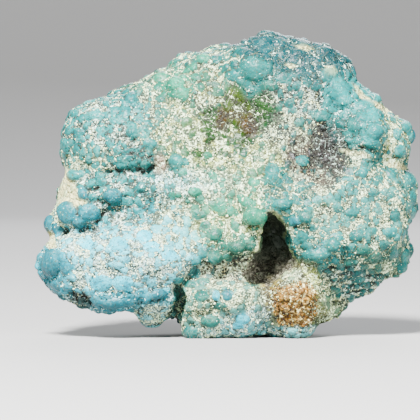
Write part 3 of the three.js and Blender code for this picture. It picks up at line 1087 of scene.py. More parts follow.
    def _raise_knobs(self, skin: Skin) -> None:
        """Raises the knobs that the view shows, fills the rest with small ones and cuts the crevices.

        Args:
            skin: the surface, which is moved.
        """
        points, across, down = skin.points, skin.fields["across"], skin.fields["down"]
        height = np.zeros(len(points))
        outside = np.full(len(points), 9.0)
        worn = self.worn_most * smoothstep(*self.worn_frost, skin.fields["frost"])
        tint = blend(skin.fields["stone"], skin.fields["ground"], worn)
        shade = np.zeros(len(points))
        placed = ((colour, Knob(*row)) for colour, rows in KNOBS.items() for row in rows)
        for number, (colour, knob) in enumerate(placed):
            size = (knob.half_width + knob.half_height) / 2 * self.view.pixel
            away = np.hypot(across - knob.across, down - knob.down)
            near = np.flatnonzero(away < 2 * knob.half_width + self.knob_margin)
            close = away[near]
            if not len(near):
                continue
            level = points[near[close < close.min() + self.knob_top], 1].min()
            reach = np.sqrt(
                ((across[near] - knob.across) / knob.half_width) ** 2
                + ((down[near] - knob.down) / knob.half_height) ** 2
                + ((points[near, 1] - level) / (size * self.knob_reach)) ** 2
            )
            rise = self.knob_rise * knob.rise * size * np.sqrt(np.clip(1 - reach**2, 0, 1))
            higher = rise > height[near]
            chosen = near[higher]
            height[chosen] = rise[higher]
            own = self.knob_own * colour.linear()
            tint[chosen] = own + (1 - self.knob_own) * skin.fields["stone"][chosen]
            shade[chosen] = math.sin(number * 2.4)
            outside[near] = np.minimum(outside[near], reach)
        self._fill(skin, height, outside, shade)
        skin.fields["tint"] = tint
        skin.fields["shade"] = shade
        depth = self._crevice_depth(skin)
        skin.fields["crevice"] = np.clip(depth / self.crevice_full, 0, 1)
        move = height - height.mean() - self.crevice_depth * depth + self.layer_rise * skin.fields["layers"]
        skin.fields["height"] = move
        skin.points = points + skin.normals() * move[:, None]

    def _fill(self, skin: Skin, height: np.ndarray, outside: np.ndarray, shade: np.ndarray) -> None:
        """Fills the ground between the view's knobs, and the sides and back, with small knobs.

        Args:
            skin: the surface.
            height: how far each vertex has been raised, which is added to.
            outside: how far each vertex lies from the nearest knob's middle, as a share of its size.
            shade: how light each vertex's knob is, from -1 to 1, which is added to.
        """
        points = skin.points
        sway = np.stack([Noise(seed).smooth(points, 0.9, 2) for seed in (41, 42, 43)], axis=1)
        back = 1 - skin.fields["front"]
        sizes = ((51, self.boulder, 0.8 * back), (52, self.pebble, 1.0), (53, self.seedling, 0.9))
        for seed, spacing, part in sizes:
            near, next_near, _, traits = Noise(seed).cells(points + self.pebble_sway * sway, spacing)
            reach = 2 * near / (near + next_near)
            kept = (traits[:, 1] < skin.fields["share"] * part) & (outside > 0.95)
            rise = self.pebble_rise * spacing * (0.5 + traits[:, 0]) * np.sqrt(np.clip(1 - reach**2, 0, 1))
            height[kept] = np.maximum(height[kept], rise[kept])
            shade[kept] = traits[kept, 2] * 2 - 1
            outside[kept] = np.minimum(outside[kept], 0.2 + 0.8 * reach[kept])
        near, next_near, _, _ = Noise(71).cells(points + self.thread_sway * sway, self.thread)
        thread = 1 - smoothstep(*self.thread_width, next_near - near)
        skin.fields["thread"] = thread * WHOLE_THREADS.at(points)
        skin.fields["knob"] = 1 - smoothstep(*self.knob_edge, outside)

    def _crevice_depth(self, skin: Skin) -> np.ndarray:
        """Works out how deep each vertex lies in a crevice.

        Args:
            skin: the surface.

        Returns:
            A depth in mm for each vertex.
        """
        depth = np.zeros(len(skin.points))
        for crevice in CREVICES:
            away = distance_to((skin.fields["across"], skin.fields["down"]), crevice.line)
            depth = np.maximum(depth, crevice.depth * np.exp(-((away / crevice.half_width) ** 2)))
        return depth * (skin.fields["front"] * OPEN_CRACKS.at(skin.points))

    def _roughen(self, skin: Skin) -> None:
        """Raises the grains between the knobs and the crystals, and flattens what rests on the floor.

        Args:
            skin: the surface, which is moved.
        """
        points = skin.points
        ground = 1 - skin.fields["knob"]
        near, _, _, traits = Noise(61).cells(points, self.grain)
        grains = (0.5 - near) * self.grain_rise * (0.5 + traits[:, 0])
        lumps = self.lump_rise * Noise(62).smooth(points, 0.7, 2)
        crumbs = ground * (grains + lumps) + (1 - ground) * 0.2 * grains
        _, _, offset, facet = Noise(63).cells(points, self.crystal)
        lean = (offset * (facet - 0.5)).sum(axis=1) * self.crystal_lean
        crystals = lean + (facet[:, 0] - 0.5) * self.crystal_step
        move = crumbs + np.maximum(skin.fields["rust"], 0.4 * skin.fields["hollow"]) * crystals
        rests = smoothstep(0.0, self.rest_fade, points[:, 2])
        skin.points = points + skin.normals() * (move * rests)[:, None]
        skin.points[:, 2] = np.maximum(skin.points[:, 2], 0.0)
        skin.fields["height"] = skin.fields["height"] + move

    def _paint(self, skin: Skin) -> None:
        """Works out how deep each vertex lies below its surroundings, as painted shade, and tells the knobs
        apart.

        Args:
            skin: the surface, whose fields are filled in.
        """
        height = skin.fields["height"]
        sunk = skin.averaged(height, self.dip_rounds) - height
        inward = skin.averaged(skin.points, self.dip_rounds) - skin.points
        bend = np.einsum("ij,ij->i", inward, skin.normals())
        dips = smoothstep(*self.dip_height, sunk) * 0.6 + smoothstep(*self.dip_bend, bend) * 0.7
        # painted shade: hollows and crevices are darkened by how deep they lie
        skin.fields["cavity_shade"] = np.clip(dips + skin.fields["crevice"], 0, 1)
        light = 1 + self.lot_contrast * skin.fields["shade"][:, None]
        skin.fields["tint"] = np.clip(skin.fields["tint"] * light, 0, 1)

    def _object(self, skin: Skin) -> bpy.types.Object:
        """Writes the surface into a mesh and thins it.

        Args:
            skin: the finished surface.

        Returns:
            The stone's object.
        """
        colours = {name: skin.fields[name] for name in ("tint", "ground")}
        values = {name: skin.fields[name] for name in self.values_written}
        piece = piece_of("turquoise_nugget", skin.points, skin.faces, colours, values)
        thin = piece.modifiers.new("thin", "DECIMATE")
        thin.ratio = min(1.0, self.most_faces / (2 * len(skin.faces)))
        coarse = piece.vertex_groups.new(name="coarse")
        shown = skin.fields["front"] >= 0.3
        for side, weight in ((~shown, 1.0), (shown, 0.5)):
            coarse.add(np.flatnonzero(side).tolist(), weight, "REPLACE")
        thin.vertex_group = "coarse"
        thin.vertex_group_factor = self.thin_back
        evaluated = piece.evaluated_get(bpy.context.evaluated_depsgraph_get())
        thinned = bpy.data.meshes.new_from_object(evaluated)
        piece.modifiers.clear()
        piece.data = thinned
        piece.vertex_groups.clear()
        thinned.shade_smooth()
        return piece


def piece_of(
    name: str,
    points: np.ndarray,
    faces: np.ndarray,
    colours: dict[str, np.ndarray],
    values: dict[str, np.ndarray],
) -> bpy.types.Object:
    """Makes an object from arrays.

    Args:
        name: the object's name.
        points: places in mm, one row each.
        faces: the points of each face, one row each.
        colours: linear colours for each point, by attribute name.
        values: numbers for each point, by attribute name.

    Returns:
        The object, linked to the scene.
    """
    corners = faces.shape[1]
    mesh = bpy.data.meshes.new(name)
    mesh.vertices.add(len(points))
    mesh.vertices.foreach_set("co", (points * MM).ravel())
    mesh.loops.add(faces.size)
    mesh.loops.foreach_set("vertex_index", faces.ravel())
    mesh.polygons.add(len(faces))
    mesh.polygons.foreach_set("loop_start", np.arange(len(faces)) * corners)
    mesh.update(calc_edges=True)
    for key, rows in colours.items():
        colour = np.ones((len(points), 4))
        colour[:, :3] = rows
        mesh.attributes.new(key, "FLOAT_COLOR", "POINT").data.foreach_set("color", colour.ravel())
    for key, row in values.items():
        column = np.ascontiguousarray(row, dtype=np.float32)
        mesh.attributes.new(key, "FLOAT", "POINT").data.foreach_set("value", column)
    piece = bpy.data.objects.new(name, mesh)
    bpy.context.scene.collection.objects.link(piece)
    return piece


@dataclass(frozen=True)
class Strewing:
    """Grains of one kind, strewn over the stone.

    Attributes:
        name: the piece's name.
        seed: picks their places.
        count: how many there are.
        size: their middling size in mm.
        tones: the colours that they come in.
        ground_share: how much of the colour beneath they take on.
    """

    name: str
    seed: int
    count: int
    size: float
    tones: tuple[Tint, ...]
    ground_share: float


BROWN_TONES = (
    Tint.BROWN, Tint.BROWN, Tint.OCHRE, Tint.OCHRE, Tint.GOLD, Tint.TAN, Tint.IVORY, Tint.SOOT,
)
STREWINGS = (
    Strewing("pale_grains_front", 101, 12000, 0.12, (Tint.WHITE, Tint.IVORY), 0.25),
    Strewing("pale_grains_back", 102, 12000, 0.17, (Tint.WHITE, Tint.IVORY), 0.25),
    Strewing("dark_grains", 103, 9000, 0.11, (Tint.SOOT, Tint.HOLLOW), 0.1),
    Strewing("brown_crystals", 104, 2500, 0.21, BROWN_TONES, 0.0),
)


@dataclass
class Grains:
    """Small angular grains that stand on the stone's surface.

    Attributes:
        skin: the stone's surface.
        strewing: which grains these are.
        size_spread: how far their sizes spread, as a logarithm.
        lift: how far a grain's middle stands above the surface, as a share of its size.
        tips: the directions of a grain's six tips.
        facets: the tips of each of its eight sides.
        tip_reach: how near and how far a tip may be, as a factor.
        tip_stray: how far a tip strays to the side, as a share of a grain's half size.
        flatness: how high a grain is, as a share of its width.
    """

    skin: Skin
    strewing: Strewing
    size_spread: float = 0.35
    lift: float = 0.12
    tips: tuple[tuple[float, float, float], ...] = (
        (1.0, 0.0, 0.0), (-1.0, 0.0, 0.0), (0.0, 1.0, 0.0), (0.0, -1.0, 0.0),
        (0.0, 0.0, 1.0), (0.0, 0.0, -1.0),
    )
    facets: tuple[tuple[int, int, int], ...] = (
        (0, 2, 4), (2, 1, 4), (1, 3, 4), (3, 0, 4), (2, 0, 5), (1, 2, 5), (3, 1, 5), (0, 3, 5),
    )
    tip_reach: Span = (0.55, 1.25)
    tip_stray: float = 0.22
    flatness: float = 0.75

    def build(self) -> bpy.types.Object:
        """Makes the grains as one mesh.

        Returns:
            The mesh's object.
        """
        chance = np.random.default_rng(self.strewing.seed)
        skin, count = self.skin, self.strewing.count
        corner = skin.points[skin.faces]
        flat = np.cross(corner[:, 2] - corner[:, 0], corner[:, 3] - corner[:, 1])
        likelihood = np.linalg.norm(flat, axis=1) * self._density()[skin.faces[:, 0]]
        rows = chance.choice(len(skin.faces), count, p=likelihood / likelihood.sum())
        share = chance.dirichlet((1.0, 1.0, 1.0, 1.0), count)
        middle = np.einsum("ij,ijk->ik", share, corner[rows])
        outward = flat[rows] / np.maximum(np.linalg.norm(flat[rows], axis=1, keepdims=True), 1e-12)
        size = self.strewing.size * np.exp(chance.normal(0.0, self.size_spread, count))
        middle = middle + outward * (self.lift * size)[:, None]
        points, faces = self._chips(chance, middle, outward, size)
        points[:, 2] = np.maximum(points[:, 2], 0.0)
        tint = np.repeat(self._tint(chance, skin.faces[rows, 0]), 6, axis=0)
        return piece_of(self.strewing.name, points, faces, {"tint": tint}, {})

    def _density(self) -> np.ndarray:
        """Works out how thickly the grains lie.

        Returns:
            A likelihood for each vertex.
        """
        fields = self.skin.fields
        front = fields["front"]
        # painted shade: pale grains are kept out of the hollows and the pocket, and a few dark grains are
        # put in the hollows
        bare = (1 - fields["knob"]) ** 2 * (1 - fields["hollow"]) * (1 - 0.8 * fields["cavity_shade"])
        pale = smoothstep(0.2, 0.8, fields["frost"]) * bare * (0.3 + fields["thread"])
        pale = pale * (1 - fields["rust"])
        kinds = {
            "pale_grains_front": pale * smoothstep(0.3, 0.7, front),
            "pale_grains_back": pale * smoothstep(0.7, 0.3, front),
            "dark_grains": fields["soot"] ** 2 * (1 - 0.97 * fields["knob"]) + 0.03 * fields["cavity_shade"],
            "brown_crystals": fields["rust"] * (1 - 0.75 * fields["gold"]),
        }
        return kinds[self.strewing.name] + 1e-9

    def _chips(
        self, chance: np.random.Generator, middle: np.ndarray, outward: np.ndarray, size: np.ndarray
    ) -> tuple[np.ndarray, np.ndarray]:
        """Makes one uneven eight-sided chip at each place.

        Args:
            chance: the source of chance.
            middle: the chips' places.
            outward: the surface's direction under each.
            size: their sizes.

        Returns:
            The points and the faces.
        """
        count = len(middle)
        side = np.cross(outward, chance.normal(size=(count, 3)))
        side /= np.linalg.norm(side, axis=1, keepdims=True)
        over = np.cross(outward, side)
        ends = np.array(self.tips) * chance.uniform(*self.tip_reach, (count, 6, 1))
        ends = ends + chance.normal(0.0, self.tip_stray, (count, 6, 3))
        ends[:, :, 2] *= self.flatness
        ends *= size[:, None, None] / 2
        turned = np.einsum("ijk,ikl->ijl", ends, np.stack([side, over, outward], axis=1))
        points = middle[:, None, :] + turned
        faces = (np.arange(count) * 6)[:, None, None] + np.array(self.facets)
        return points.reshape(-1, 3), faces.reshape(-1, 3)

    def _tint(self, chance: np.random.Generator, under: np.ndarray) -> np.ndarray:
        """Gives each grain a colour.

        Args:
            chance: the source of chance.
            under: the vertex under each grain.

        Returns:
            One linear colour for each grain.
        """
        tones = np.array([tone.linear() for tone in self.strewing.tones])
        own = 0.8 * tones[chance.integers(len(tones), size=len(under))]
        own += 0.2 * tones[chance.integers(len(tones), size=len(under))]
        share = self.strewing.ground_share
        mixed = (1 - share) * own + share * self.skin.fields["ground"][under]
        return np.clip(mixed * chance.uniform(0.8, 1.1, (len(under), 1)), 0, 1)


class Field:
    """A shader socket that can be used in sums."""

    def __init__(self, nodes: "Nodes", socket: bpy.types.NodeSocket) -> None:
        """Wraps a socket of the node tree."""
        self.nodes = nodes
        self.socket = socket

    def _math(self, operation: str, *values: "Field | float") -> "Field":
        """Adds a Math node."""
        inputs = dict(enumerate(values))
        return self.nodes.add("ShaderNodeMath", {"operation": operation}, inputs, "Value")

    def __add__(self, other: "Field | float") -> "Field":
        """Adds."""
        return self._math("ADD", self, other)

    __radd__ = __add__

    def __sub__(self, other: "Field | float") -> "Field":
        """Takes away."""
        return self._math("SUBTRACT", self, other)

    def __rsub__(self, other: "Field | float") -> "Field":
        """Is taken away from a number."""
        return self._math("SUBTRACT", other, self)

    def __mul__(self, other: "Field | float") -> "Field":
        """Multiplies."""
        return self._math("MULTIPLY", self, other)

    __rmul__ = __mul__

    def at_most(self, other: "Field | float") -> "Field":
        """Gives the smaller of two."""
        return self._math("MINIMUM", self, other)

    def at_least(self, other: "Field | float") -> "Field":
        """Gives the larger of two."""
        return self._math("MAXIMUM", self, other)

    def step(
        self, low: "Field | float", high: "Field | float", start: float = 0.0, end: float = 1.0
    ) -> "Field":
        """Goes smoothly from one value to another.

        Args:
            low: where it starts to change.
            high: where it has changed.
            start: its value at low.
            end: its value at high.

        Returns:
            The changing value.
        """
        settings = {"interpolation_type": "SMOOTHSTEP"}
        inputs = {"Value": self, "From Min": low, "From Max": high, "To Min": start, "To Max": end}
        return self.nodes.add("ShaderNodeMapRange", settings, inputs, "Result")


@dataclass
class Nodes:
    """A material's node tree, and the one way that nodes are added to it.

    Attributes:
        tree: the node tree.
    """

    tree: bpy.types.NodeTree

    def add(
        self, kind: str, settings: dict[str, object], inputs: dict[str | int, object], output: str = ""
    ) -> "Field | bpy.types.Node":
        """Adds a node.

        Args:
            kind: the node's type.
            settings: the node's own settings, set first.
            inputs: a value, Field or socket for each input, by name, identifier or number.
            output: the output to wrap, or nothing for the node itself.

        Returns:
            The output as a Field, or the node.
        """
        node = self.tree.nodes.new(kind)
        for name, value in settings.items():
            setattr(node, name, value)
        for key, value in inputs.items():
            socket = node.inputs[key] if isinstance(key, int) else self._find(node.inputs, key)
            if isinstance(value, Field):
                self.tree.links.new(value.socket, socket)
            else:
                socket.default_value = value
        return Field(self, self._find(node.outputs, output)) if output else node

    @staticmethod
    def _find(sockets: bpy.types.bpy_prop_collection, key: str) -> bpy.types.NodeSocket:
        """Finds a socket by its identifier, or else by its name."""
        return next((s for s in sockets if s.identifier == key), None) or sockets[key]

    def attribute(self, name: str, output: str = "Fac") -> Field:
        """Reads one of the mesh's attributes."""
        return self.add("ShaderNodeAttribute", {"attribute_name": name}, {}, output)

    def mix(
        self, first: Field | Shade, second: Field | Shade, factor: Field | float, way: str = "MIX"
    ) -> Field:
        """Mixes two colours.

        Args:
            first: the colour that shows where the factor is 0.
            second: the colour that is mixed in.
            factor: how much of the second is mixed in.
            way: how they are mixed.

        Returns:
            The mixed colour.
        """
        settings = {"data_type": "RGBA", "blend_type": way}
        inputs = {"A_Color": first, "B_Color": second, "Factor_Float": factor}
        return self.add("ShaderNodeMix", settings, inputs, "Result_Color")


@dataclass(frozen=True)
class Weave:
    """The fields that the stone's colour and relief share.

    Attributes:
        knob: 1 on a knob and 0 between knobs.
        edge: the distance to the edge of the small dome, in domes.
        lot: a random number for each small dome.
        curl: clouds whose heights are white curls and whose depths are dark specks, partly painted shade.
        speck: the same, finer.
        torn: wide clouds that thin the white out.
    """

    knob: Field
    edge: Field
    lot: Field
    curl: Field
    speck: Field
    torn: Field


@dataclass(frozen=True)
class Level:
    """The heights of a noise between which something fades in, and how a field moves them.

    Attributes:
        start: the height where it starts, for a field of 0.
        full: the height where it is full, for a field of 0.
        shift: how far a field of 1 moves both.
    """

    start: float
    full: float
    shift: float

    def shown(self, noise: Field, amount: Field) -> Field:
        """Gives how much of it shows where the noise and the field are as given."""
        return noise.step(self.start + amount * self.shift, self.full + amount * self.shift)


@dataclass(frozen=True)
class TurquoiseFinish:
    """The stone's finish: waxy knobs and small domes, with a torn white net between them and painted shade
    in their gaps.

    Attributes:
        domes: how many small domes stand in a millimetre.
        curls: how many white curls stand in a millimetre.
        specks: how many fine specks stand in a millimetre.
        clouds: how many wide clouds stand in a millimetre.
        rags: how many notches the knobs' edges have in a millimetre.
        stir: how far shapes are stirred, in mm.
        knob_roughness, ground_roughness: how dull the knobs and the ground are.
        gloss: how strongly the stone reflects.
        relief: how high the relief stands, in metres.
        bleach: what the pale clouds in the stone are dodged with.
        veil: what the dark clouds in the stone are multiplied with.
        body: what the knobs' colours are multiplied with.
        bed: what the ground's colours are multiplied with.
        gap_shade: the painted shade in the gaps between the small domes.
        chalk_shade, chalk_light: the white's colours in its thin and in its thick parts.
        chalk_cool: the white's colour in the blue zones.
        dust_and_shade: the dark specks' colour on clean ground, where they are mostly painted shade between
            the white grains.
        dirt_and_shade: the dark specks' colour on sooty ground, dark grains and painted shade together.
        crevice_shade: the painted shade in the crevices and hollows.
        loam, sand: the dark and the pale colour of the pocket's slopes.
        den_shade: the painted shade of the pocket's depth.
        knob_edge: where the knobs' notched edge fades in.
        pale_clouds, dark_clouds: the clouds that are dodged, and those that are veiled.
        dome_edge: how far from their edges the small domes fade into the painted shade of the gaps.
        worn_frost, worn_clouds: where frost and clouds wear the small domes down to the ground.
        threads: where threads are whole.
        thread_foot, thread_top: where a thread begins and is full, in domes, for the thickest white.
        white_curls, white_specks: where the noises show white, by how white the place is.
        dark_curls, dark_specks: where the noises show dark specks, soot and painted shade, by how gloomy
            the place is.
        thick_chalk: where the white is thick.
        sooty: how much soot darkens the dark specks' colour.
    """

    domes: float = 1.5
    curls: float = 4.2
    specks: float = 5.6
    clouds: float = 0.9
    rags: float = 2.4
    stir: float = 0.42
    knob_roughness: float = 0.33
    ground_roughness: float = 0.9
    gloss: float = 0.14
    relief: float = 0.00019
    bleach: Shade = (0.25, 0.25, 0.25, 1.0)
    veil: Shade = (0.5, 0.6, 0.64, 1.0)
    body: Shade = (0.45, 0.55, 0.565, 1.0)
    bed: Shade = (0.84, 0.84, 0.84, 1.0)
    gap_shade: Shade = (0.03, 0.06, 0.06, 1.0)
    chalk_shade: Shade = (0.36, 0.42, 0.22, 1.0)
    chalk_light: Shade = (0.78, 1.0, 0.62, 1.0)
    chalk_cool: Shade = (0.66, 0.97, 0.96, 1.0)
    dust_and_shade: Shade = (0.046, 0.058, 0.038, 1.0)
    dirt_and_shade: Shade = (0.030, 0.030, 0.026, 1.0)
    crevice_shade: Shade = (0.020, 0.020, 0.017, 1.0)
    loam: Shade = (0.05, 0.046, 0.03, 1.0)
    sand: Shade = (0.34, 0.325, 0.25, 1.0)
    den_shade: Shade = (0.030, 0.036, 0.027, 1.0)
    knob_edge: Span = (0.35, 0.6)
    pale_clouds: Span = (0.48, 0.7)
    dark_clouds: Span = (0.5, 0.3)
    dome_edge: Span = (0.16, 0.02)
    worn_frost: Span = (0.5, 0.8)
    worn_clouds: Span = (0.4, 0.56)
    threads: Span = (0.42, 0.52)
    thread_foot: float = 0.2
    thread_top: float = 0.07
    white_curls: Level = Level(0.68, 0.71, -0.2)
    white_specks: Level = Level(0.74, 0.78, -0.21)
    dark_curls: Level = Level(0.34, 0.30, 0.2)
    dark_specks: Level = Level(0.36, 0.31, 0.2)
    thick_chalk: Span = (0.36, 0.54)
    sooty: Span = (0.1, 0.4)

    def material(self) -> bpy.types.Material:
        """Builds the material.

        Returns:
            The material.
        """
        material = bpy.data.materials.new("turquoise")
        material.use_nodes = True
        material.node_tree.nodes.clear()
        nodes = Nodes(material.node_tree)
        weave = self._weave(nodes)
        white = self._white(nodes, weave)
        height = {"Distance": self.relief, "Height": self._height(weave, white)}
        inputs = {
            "Base Color": self._colour(nodes, weave, white),
            "Roughness": weave.knob.step(0.0, 1.0, self.ground_roughness, self.knob_roughness),
            "Normal": nodes.add("ShaderNodeBump", {}, height, "Normal"),
            "Specular IOR Level": self.gloss,
        }
        shader = nodes.add("ShaderNodeBsdfPrincipled", {}, inputs, "BSDF")
        nodes.add("ShaderNodeOutputMaterial", {}, {"Surface": shader})
        return material

    def _weave(self, nodes: Nodes) -> Weave:
        """Lays out the small domes, the curls and the clouds.

        Args:
            nodes: the material's nodes.

        Returns:
            The fields that the colour and the relief share.
        """
        place = self._place(nodes)
        ragged = self._noise(nodes, place, self.rags, 4.0)
        inputs = {"Vector": place, "Scale": self.domes}
        edge = nodes.add("ShaderNodeTexVoronoi", {"feature": "DISTANCE_TO_EDGE"}, inputs, "Distance")
        cells = nodes.add("ShaderNodeTexVoronoi", {"feature": "F1"}, inputs, "Color")
        return Weave(
            knob=(nodes.attribute("knob") + (ragged - 0.5) * 1.2).step(*self.knob_edge),
            edge=edge,
            lot=nodes.add("ShaderNodeSeparateColor", {}, {"Color": cells}, "Red"),
            curl=self._noise(nodes, place, self.curls, 2.0),
            speck=self._noise(nodes, place, self.specks, 1.0),
            torn=self._noise(nodes, place, self.clouds, 3.0),
        )

    def _place(self, nodes: Nodes) -> Field:
        """Finds the place on the stone in mm, stirred a little so that shapes are uneven.

        Args:
            nodes: the material's nodes.

        Returns:
            The place.
        """
        place = nodes.add("ShaderNodeTexCoord", {}, {}, "Object")
        inputs = {"Vector": place, "Scale": 1 / MM}
        place = nodes.add("ShaderNodeVectorMath", {"operation": "SCALE"}, inputs, "Vector")
        inputs = {"Vector": place, "Scale": 3.0, "Detail": 2.0}
        sway = nodes.add("ShaderNodeTexNoise", {}, inputs, "Color")
        inputs = {0: sway, 1: (self.stir, self.stir, self.stir), 2: place}
        return nodes.add("ShaderNodeVectorMath", {"operation": "MULTIPLY_ADD"}, inputs, "Vector")

    def _noise(self, nodes: Nodes, place: Field, scale: float, detail: float) -> Field:
        """Gives clouds, of which about scale stand in a millimetre."""
        inputs = {"Vector": place, "Scale": scale, "Detail": detail, "Roughness": 0.62}
        return nodes.add("ShaderNodeTexNoise", {}, inputs, "Fac")

    def _white(self, nodes: Nodes, weave: Weave) -> Field:
        """Finds where white shows: threads between the small domes, and curls between the knobs.

        Args:
            nodes: the material's nodes.
            weave: the shared fields.

        Returns:
            How white the surface is, from 0 to 1.
        """
        lively = (nodes.attribute("frost") + (weave.torn - 0.5) * 2.0).at_least(0.0).at_most(1.0)
        loose = lively * (1.0 - weave.knob * 0.97)
        thread = weave.edge.step(lively * self.thread_foot, lively * self.thread_top)
        thread = thread * weave.torn.step(*self.threads)
        curls = self.white_curls.shown(weave.curl, loose)
        specks = self.white_specks.shown(weave.speck, loose)
        return (thread * (1.0 - weave.knob * 0.95)).at_least(curls * 0.95).at_least(specks * 0.85)

    def _dark(self, nodes: Nodes, weave: Weave) -> Field:
        """Finds where dark specks show: soot, and painted shade between the white grains and in the
        hollows.

        Args:
            nodes: the material's nodes.
            weave: the shared fields.

        Returns:
            How dark the surface is, from 0 to 1.
        """
        # soot gives dark grains; hollows and thick white add dark specks as painted shade
        gloom = nodes.attribute("soot") + nodes.attribute("cavity_shade") * 0.3 + nodes.attribute("frost") * 1.02
        gloom = gloom * (1.0 - weave.knob * 0.85)
        gaps = self.dark_curls.shown(weave.curl, gloom)
        return gaps.at_least(self.dark_specks.shown(weave.speck, gloom))

    def _colour(self, nodes: Nodes, weave: Weave, white: Field) -> Field:
        """Builds the colour: the stone's body, the white, the dark specks with painted shade, and painted
        shade in crevices and the pocket.

        Args:
            nodes: the material's nodes.
            weave: the shared fields.
            white: how white the surface is.

        Returns:
            The colour.
        """
        cavity_shade, hollow, slope = (nodes.attribute(name) for name in ("cavity_shade", "hollow", "slope"))
        base = self._body(nodes, weave)
        chalk = nodes.mix(self.chalk_shade, self.chalk_light, weave.speck.step(*self.thick_chalk))
        cool = nodes.attribute("cool") * weave.speck.step(*self.thick_chalk, 0.4, 0.9)
        chalk = nodes.mix(chalk, self.chalk_cool, cool)
        # no white in the pocket's painted shade
        base = nodes.mix(base, chalk, white * (1.0 - hollow) * 0.95)
        dirt_and_shade = nodes.mix(self.dust_and_shade, self.dirt_and_shade, nodes.attribute("soot").step(*self.sooty))
        # dark specks: soot, and painted shade between the white grains
        base = nodes.mix(base, dirt_and_shade, self._dark(nodes, weave) * (1.0 - white * 0.3) * 0.9)
        # painted shade in the crevices and hollows
        base = nodes.mix(base, self.crevice_shade, cavity_shade * weave.speck.step(0.4, 0.6, 0.85, 0.25))
        earth = nodes.mix(self.loam, self.sand, weave.curl.step(0.42, 0.62))
        # painted shade in the pocket's depth, with the slopes' earth showing through
        den_shade = nodes.mix(self.den_shade, earth, slope * weave.speck.step(0.3, 0.5, 0.4, 1.0))
        return nodes.mix(base, den_shade, hollow * 0.92)

    def _body(self, nodes: Nodes, weave: Weave) -> Field:
        """Builds the colour of the knobs, and of the small domes with painted shade in the gaps between
        them.

        Args:
            nodes: the material's nodes.
            weave: the shared fields.

        Returns:
            The colour.
        """
        ground = nodes.mix(nodes.attribute("ground", "Color"), self.bed, 1.0, "MULTIPLY")
        tint = nodes.attribute("tint", "Color")
        stone = nodes.mix(tint, self.bleach, weave.torn.step(*self.pale_clouds), "DODGE")
        stone = nodes.mix(stone, self.veil, weave.torn.step(*self.dark_clouds), "MULTIPLY")
        stone = nodes.mix(stone, self.body, 1.0, "MULTIPLY")
        share = nodes.attribute("share") + 0.1
        dome = nodes.mix(stone, ground, weave.lot.step(share, share + 0.2, 0.0, 0.8))
        # painted shade in the gaps between the small domes
        gap_shade = nodes.mix(ground, self.gap_shade, 0.35)
        between = nodes.mix(dome, gap_shade, weave.edge.step(*self.dome_edge))
        worn = nodes.attribute("frost").step(*self.worn_frost) * weave.torn.step(*self.worn_clouds)
        between = nodes.mix(between, ground, worn * 0.6)
        return nodes.mix(between, stone, weave.knob)

    def _height(self, weave: Weave, white: Field) -> Field:
        """Builds the fine relief that the bump shows.

        Args:
            weave: the shared fields.
            white: how white the surface is.

        Returns:
            The height.
        """
        domes = weave.edge.step(0.0, 0.3) * (1.0 - weave.knob * 0.8)
        curls = weave.curl * (1.1 - weave.knob)
        return domes + white * 0.3 + curls + weave.speck * (0.6 - weave.knob * 0.55)


@dataclass(frozen=True)
class GrainFinish:
    """The finish of the loose-looking grains: dull, each of its own colour.

    Attributes:
        roughness: how dull they are.
        gloss: how strongly they reflect.
    """

    roughness: float = 0.6
    gloss: float = 0.35

    def material(self) -> bpy.types.Material:
        """Builds the material.

        Returns:
            The material.
        """
        material = bpy.data.materials.new("grains")
        material.use_nodes = True
        material.node_tree.nodes.clear()
        nodes = Nodes(material.node_tree)
        inputs = {
            "Base Color": nodes.attribute("tint", "Color"),
            "Roughness": self.roughness,
            "Specular IOR Level": self.gloss,
        }
        shader = nodes.add("ShaderNodeBsdfPrincipled", {}, inputs, "BSDF")
        nodes.add("ShaderNodeOutputMaterial", {}, {"Surface": shader})
        return material


@dataclass(frozen=True)
class Lamp:
    """A soft square light that faces the stone.

    Attributes:
        name: its name.
        place: its place in mm.
        size: its side in mm.
        power: its power in watts.
        colour: its colour.
    """

    name: str
    place: tuple[float, float, float]
    size: float
    power: float
    colour: tuple[float, float, float]


LAMPS = (
    Lamp("key", (-70.0, -255.0, 290.0), 90.0, 14.6, (1.0, 0.99, 0.97)),
    Lamp("fill", (280.0, -260.0, 100.0), 260.0, 2.9, (0.96, 0.98, 1.0)),
    Lamp("back", (60.0, 380.0, 260.0), 260.0, 2.9, (0.97, 0.98, 1.0)),
)


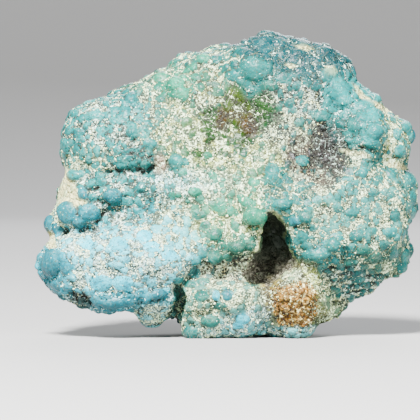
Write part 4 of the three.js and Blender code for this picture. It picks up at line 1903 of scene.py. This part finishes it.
@dataclass
class Studio:
    """The floor, the lights and the camera.

    Attributes:
        view: the front view that the camera takes.
        floor_half: half the floor's width in mm.
        wall: how far behind the stone the floor curves up, in mm.
        bend: the radius of that curve in mm.
        bend_steps: how many steps the curve has.
        wall_height: how high the wall stands, in mm.
        floor_colour: the floor's colour.
        sky: the colour of the light from all around.
        sky_strength: how strong that light is.
    """

    view: View
    floor_half: float = 900.0
    wall: float = 420.0
    bend: float = 260.0
    bend_steps: int = 24
    wall_height: float = 1400.0
    floor_colour: Shade = (0.27, 0.27, 0.27, 1.0)
    sky: Shade = (0.9, 0.95, 1.0, 1.0)
    sky_strength: float = 0.21

    def build(self) -> None:
        """Makes the floor, the lights and the camera."""
        self._sweep()
        for lamp in LAMPS:
            self._hang(lamp)
        world = bpy.data.worlds.new("studio")
        world.use_nodes = True
        background = world.node_tree.nodes["Background"]
        background.inputs["Color"].default_value = self.sky
        background.inputs["Strength"].default_value = self.sky_strength
        bpy.context.scene.world = world
        self._camera()

    def _sweep(self) -> None:
        """Makes a pale floor that curves up into a wall far behind."""
        profile = [(-self.floor_half, 0.0), (self.wall, 0.0)]
        for step in range(1, self.bend_steps + 1):
            turn = math.pi / 2 * step / self.bend_steps
            profile.append((self.wall + self.bend * math.sin(turn), self.bend * (1 - math.cos(turn))))
        profile.append((self.wall + self.bend, self.wall_height))
        half = self.floor_half * MM
        points = [(side * half, y * MM, z * MM) for y, z in profile for side in (-1, 1)]
        faces = [(2 * i, 2 * i + 1, 2 * i + 3, 2 * i + 2) for i in range(len(profile) - 1)]
        mesh = bpy.data.meshes.new("floor")
        mesh.from_pydata(points, [], faces)
        mesh.shade_smooth()
        floor = bpy.data.objects.new("floor", mesh)
        bpy.context.scene.collection.objects.link(floor)
        material = bpy.data.materials.new("floor")
        material.use_nodes = True
        shader = material.node_tree.nodes["Principled BSDF"]
        shader.inputs["Base Color"].default_value = self.floor_colour
        shader.inputs["Roughness"].default_value = 0.9
        mesh.materials.append(material)

    def _hang(self, lamp: Lamp) -> None:
        """Hangs a light.

        Args:
            lamp: the light.
        """
        data = bpy.data.lights.new(lamp.name, "AREA")
        data.shape = "SQUARE"
        data.size = lamp.size * MM
        data.energy = lamp.power
        data.color = lamp.colour
        light = bpy.data.objects.new(lamp.name, data)
        light.location = [value * MM for value in lamp.place]
        aim = Vector((0.0, 0.0, self.view.target[2] * MM)) - light.location
        light.rotation_euler = aim.to_track_quat("-Z", "Y").to_euler()
        bpy.context.scene.collection.objects.link(light)

    def _camera(self) -> None:
        """Puts the camera where the view is taken from."""
        data = bpy.data.cameras.new("camera")
        data.lens = self.view.lens
        data.sensor_width = self.view.sensor
        data.clip_start = 0.005
        data.clip_end = 10.0
        camera = bpy.data.objects.new("camera", data)
        camera.location = [value * MM for value in self.view.eye]
        camera.rotation_euler = Vector(self.view.forward).to_track_quat("-Z", "Y").to_euler()
        bpy.context.scene.collection.objects.link(camera)
        bpy.context.scene.camera = camera


def main() -> None:
    """Builds the studio and the stone, and writes how large the stone came out."""
    logging.basicConfig(level=logging.INFO, format="%(name)s: %(message)s")
    view = View()
    Studio(view).build()
    log.info("studio ready")
    stone, skin = Nugget(view).build()
    stone.data.materials.append(TurquoiseFinish().material())
    pieces = [stone]
    grain_material = GrainFinish().material()
    for strewing in STREWINGS:
        grains = Grains(skin, strewing).build()
        grains.data.materials.append(grain_material)
        pieces.append(grains)
    for piece in pieces:
        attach(piece, "root")
        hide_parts("nugget")
        log.info("%s: %d faces", piece.name, len(piece.data.polygons))


if __name__ == "__main__":
    main()
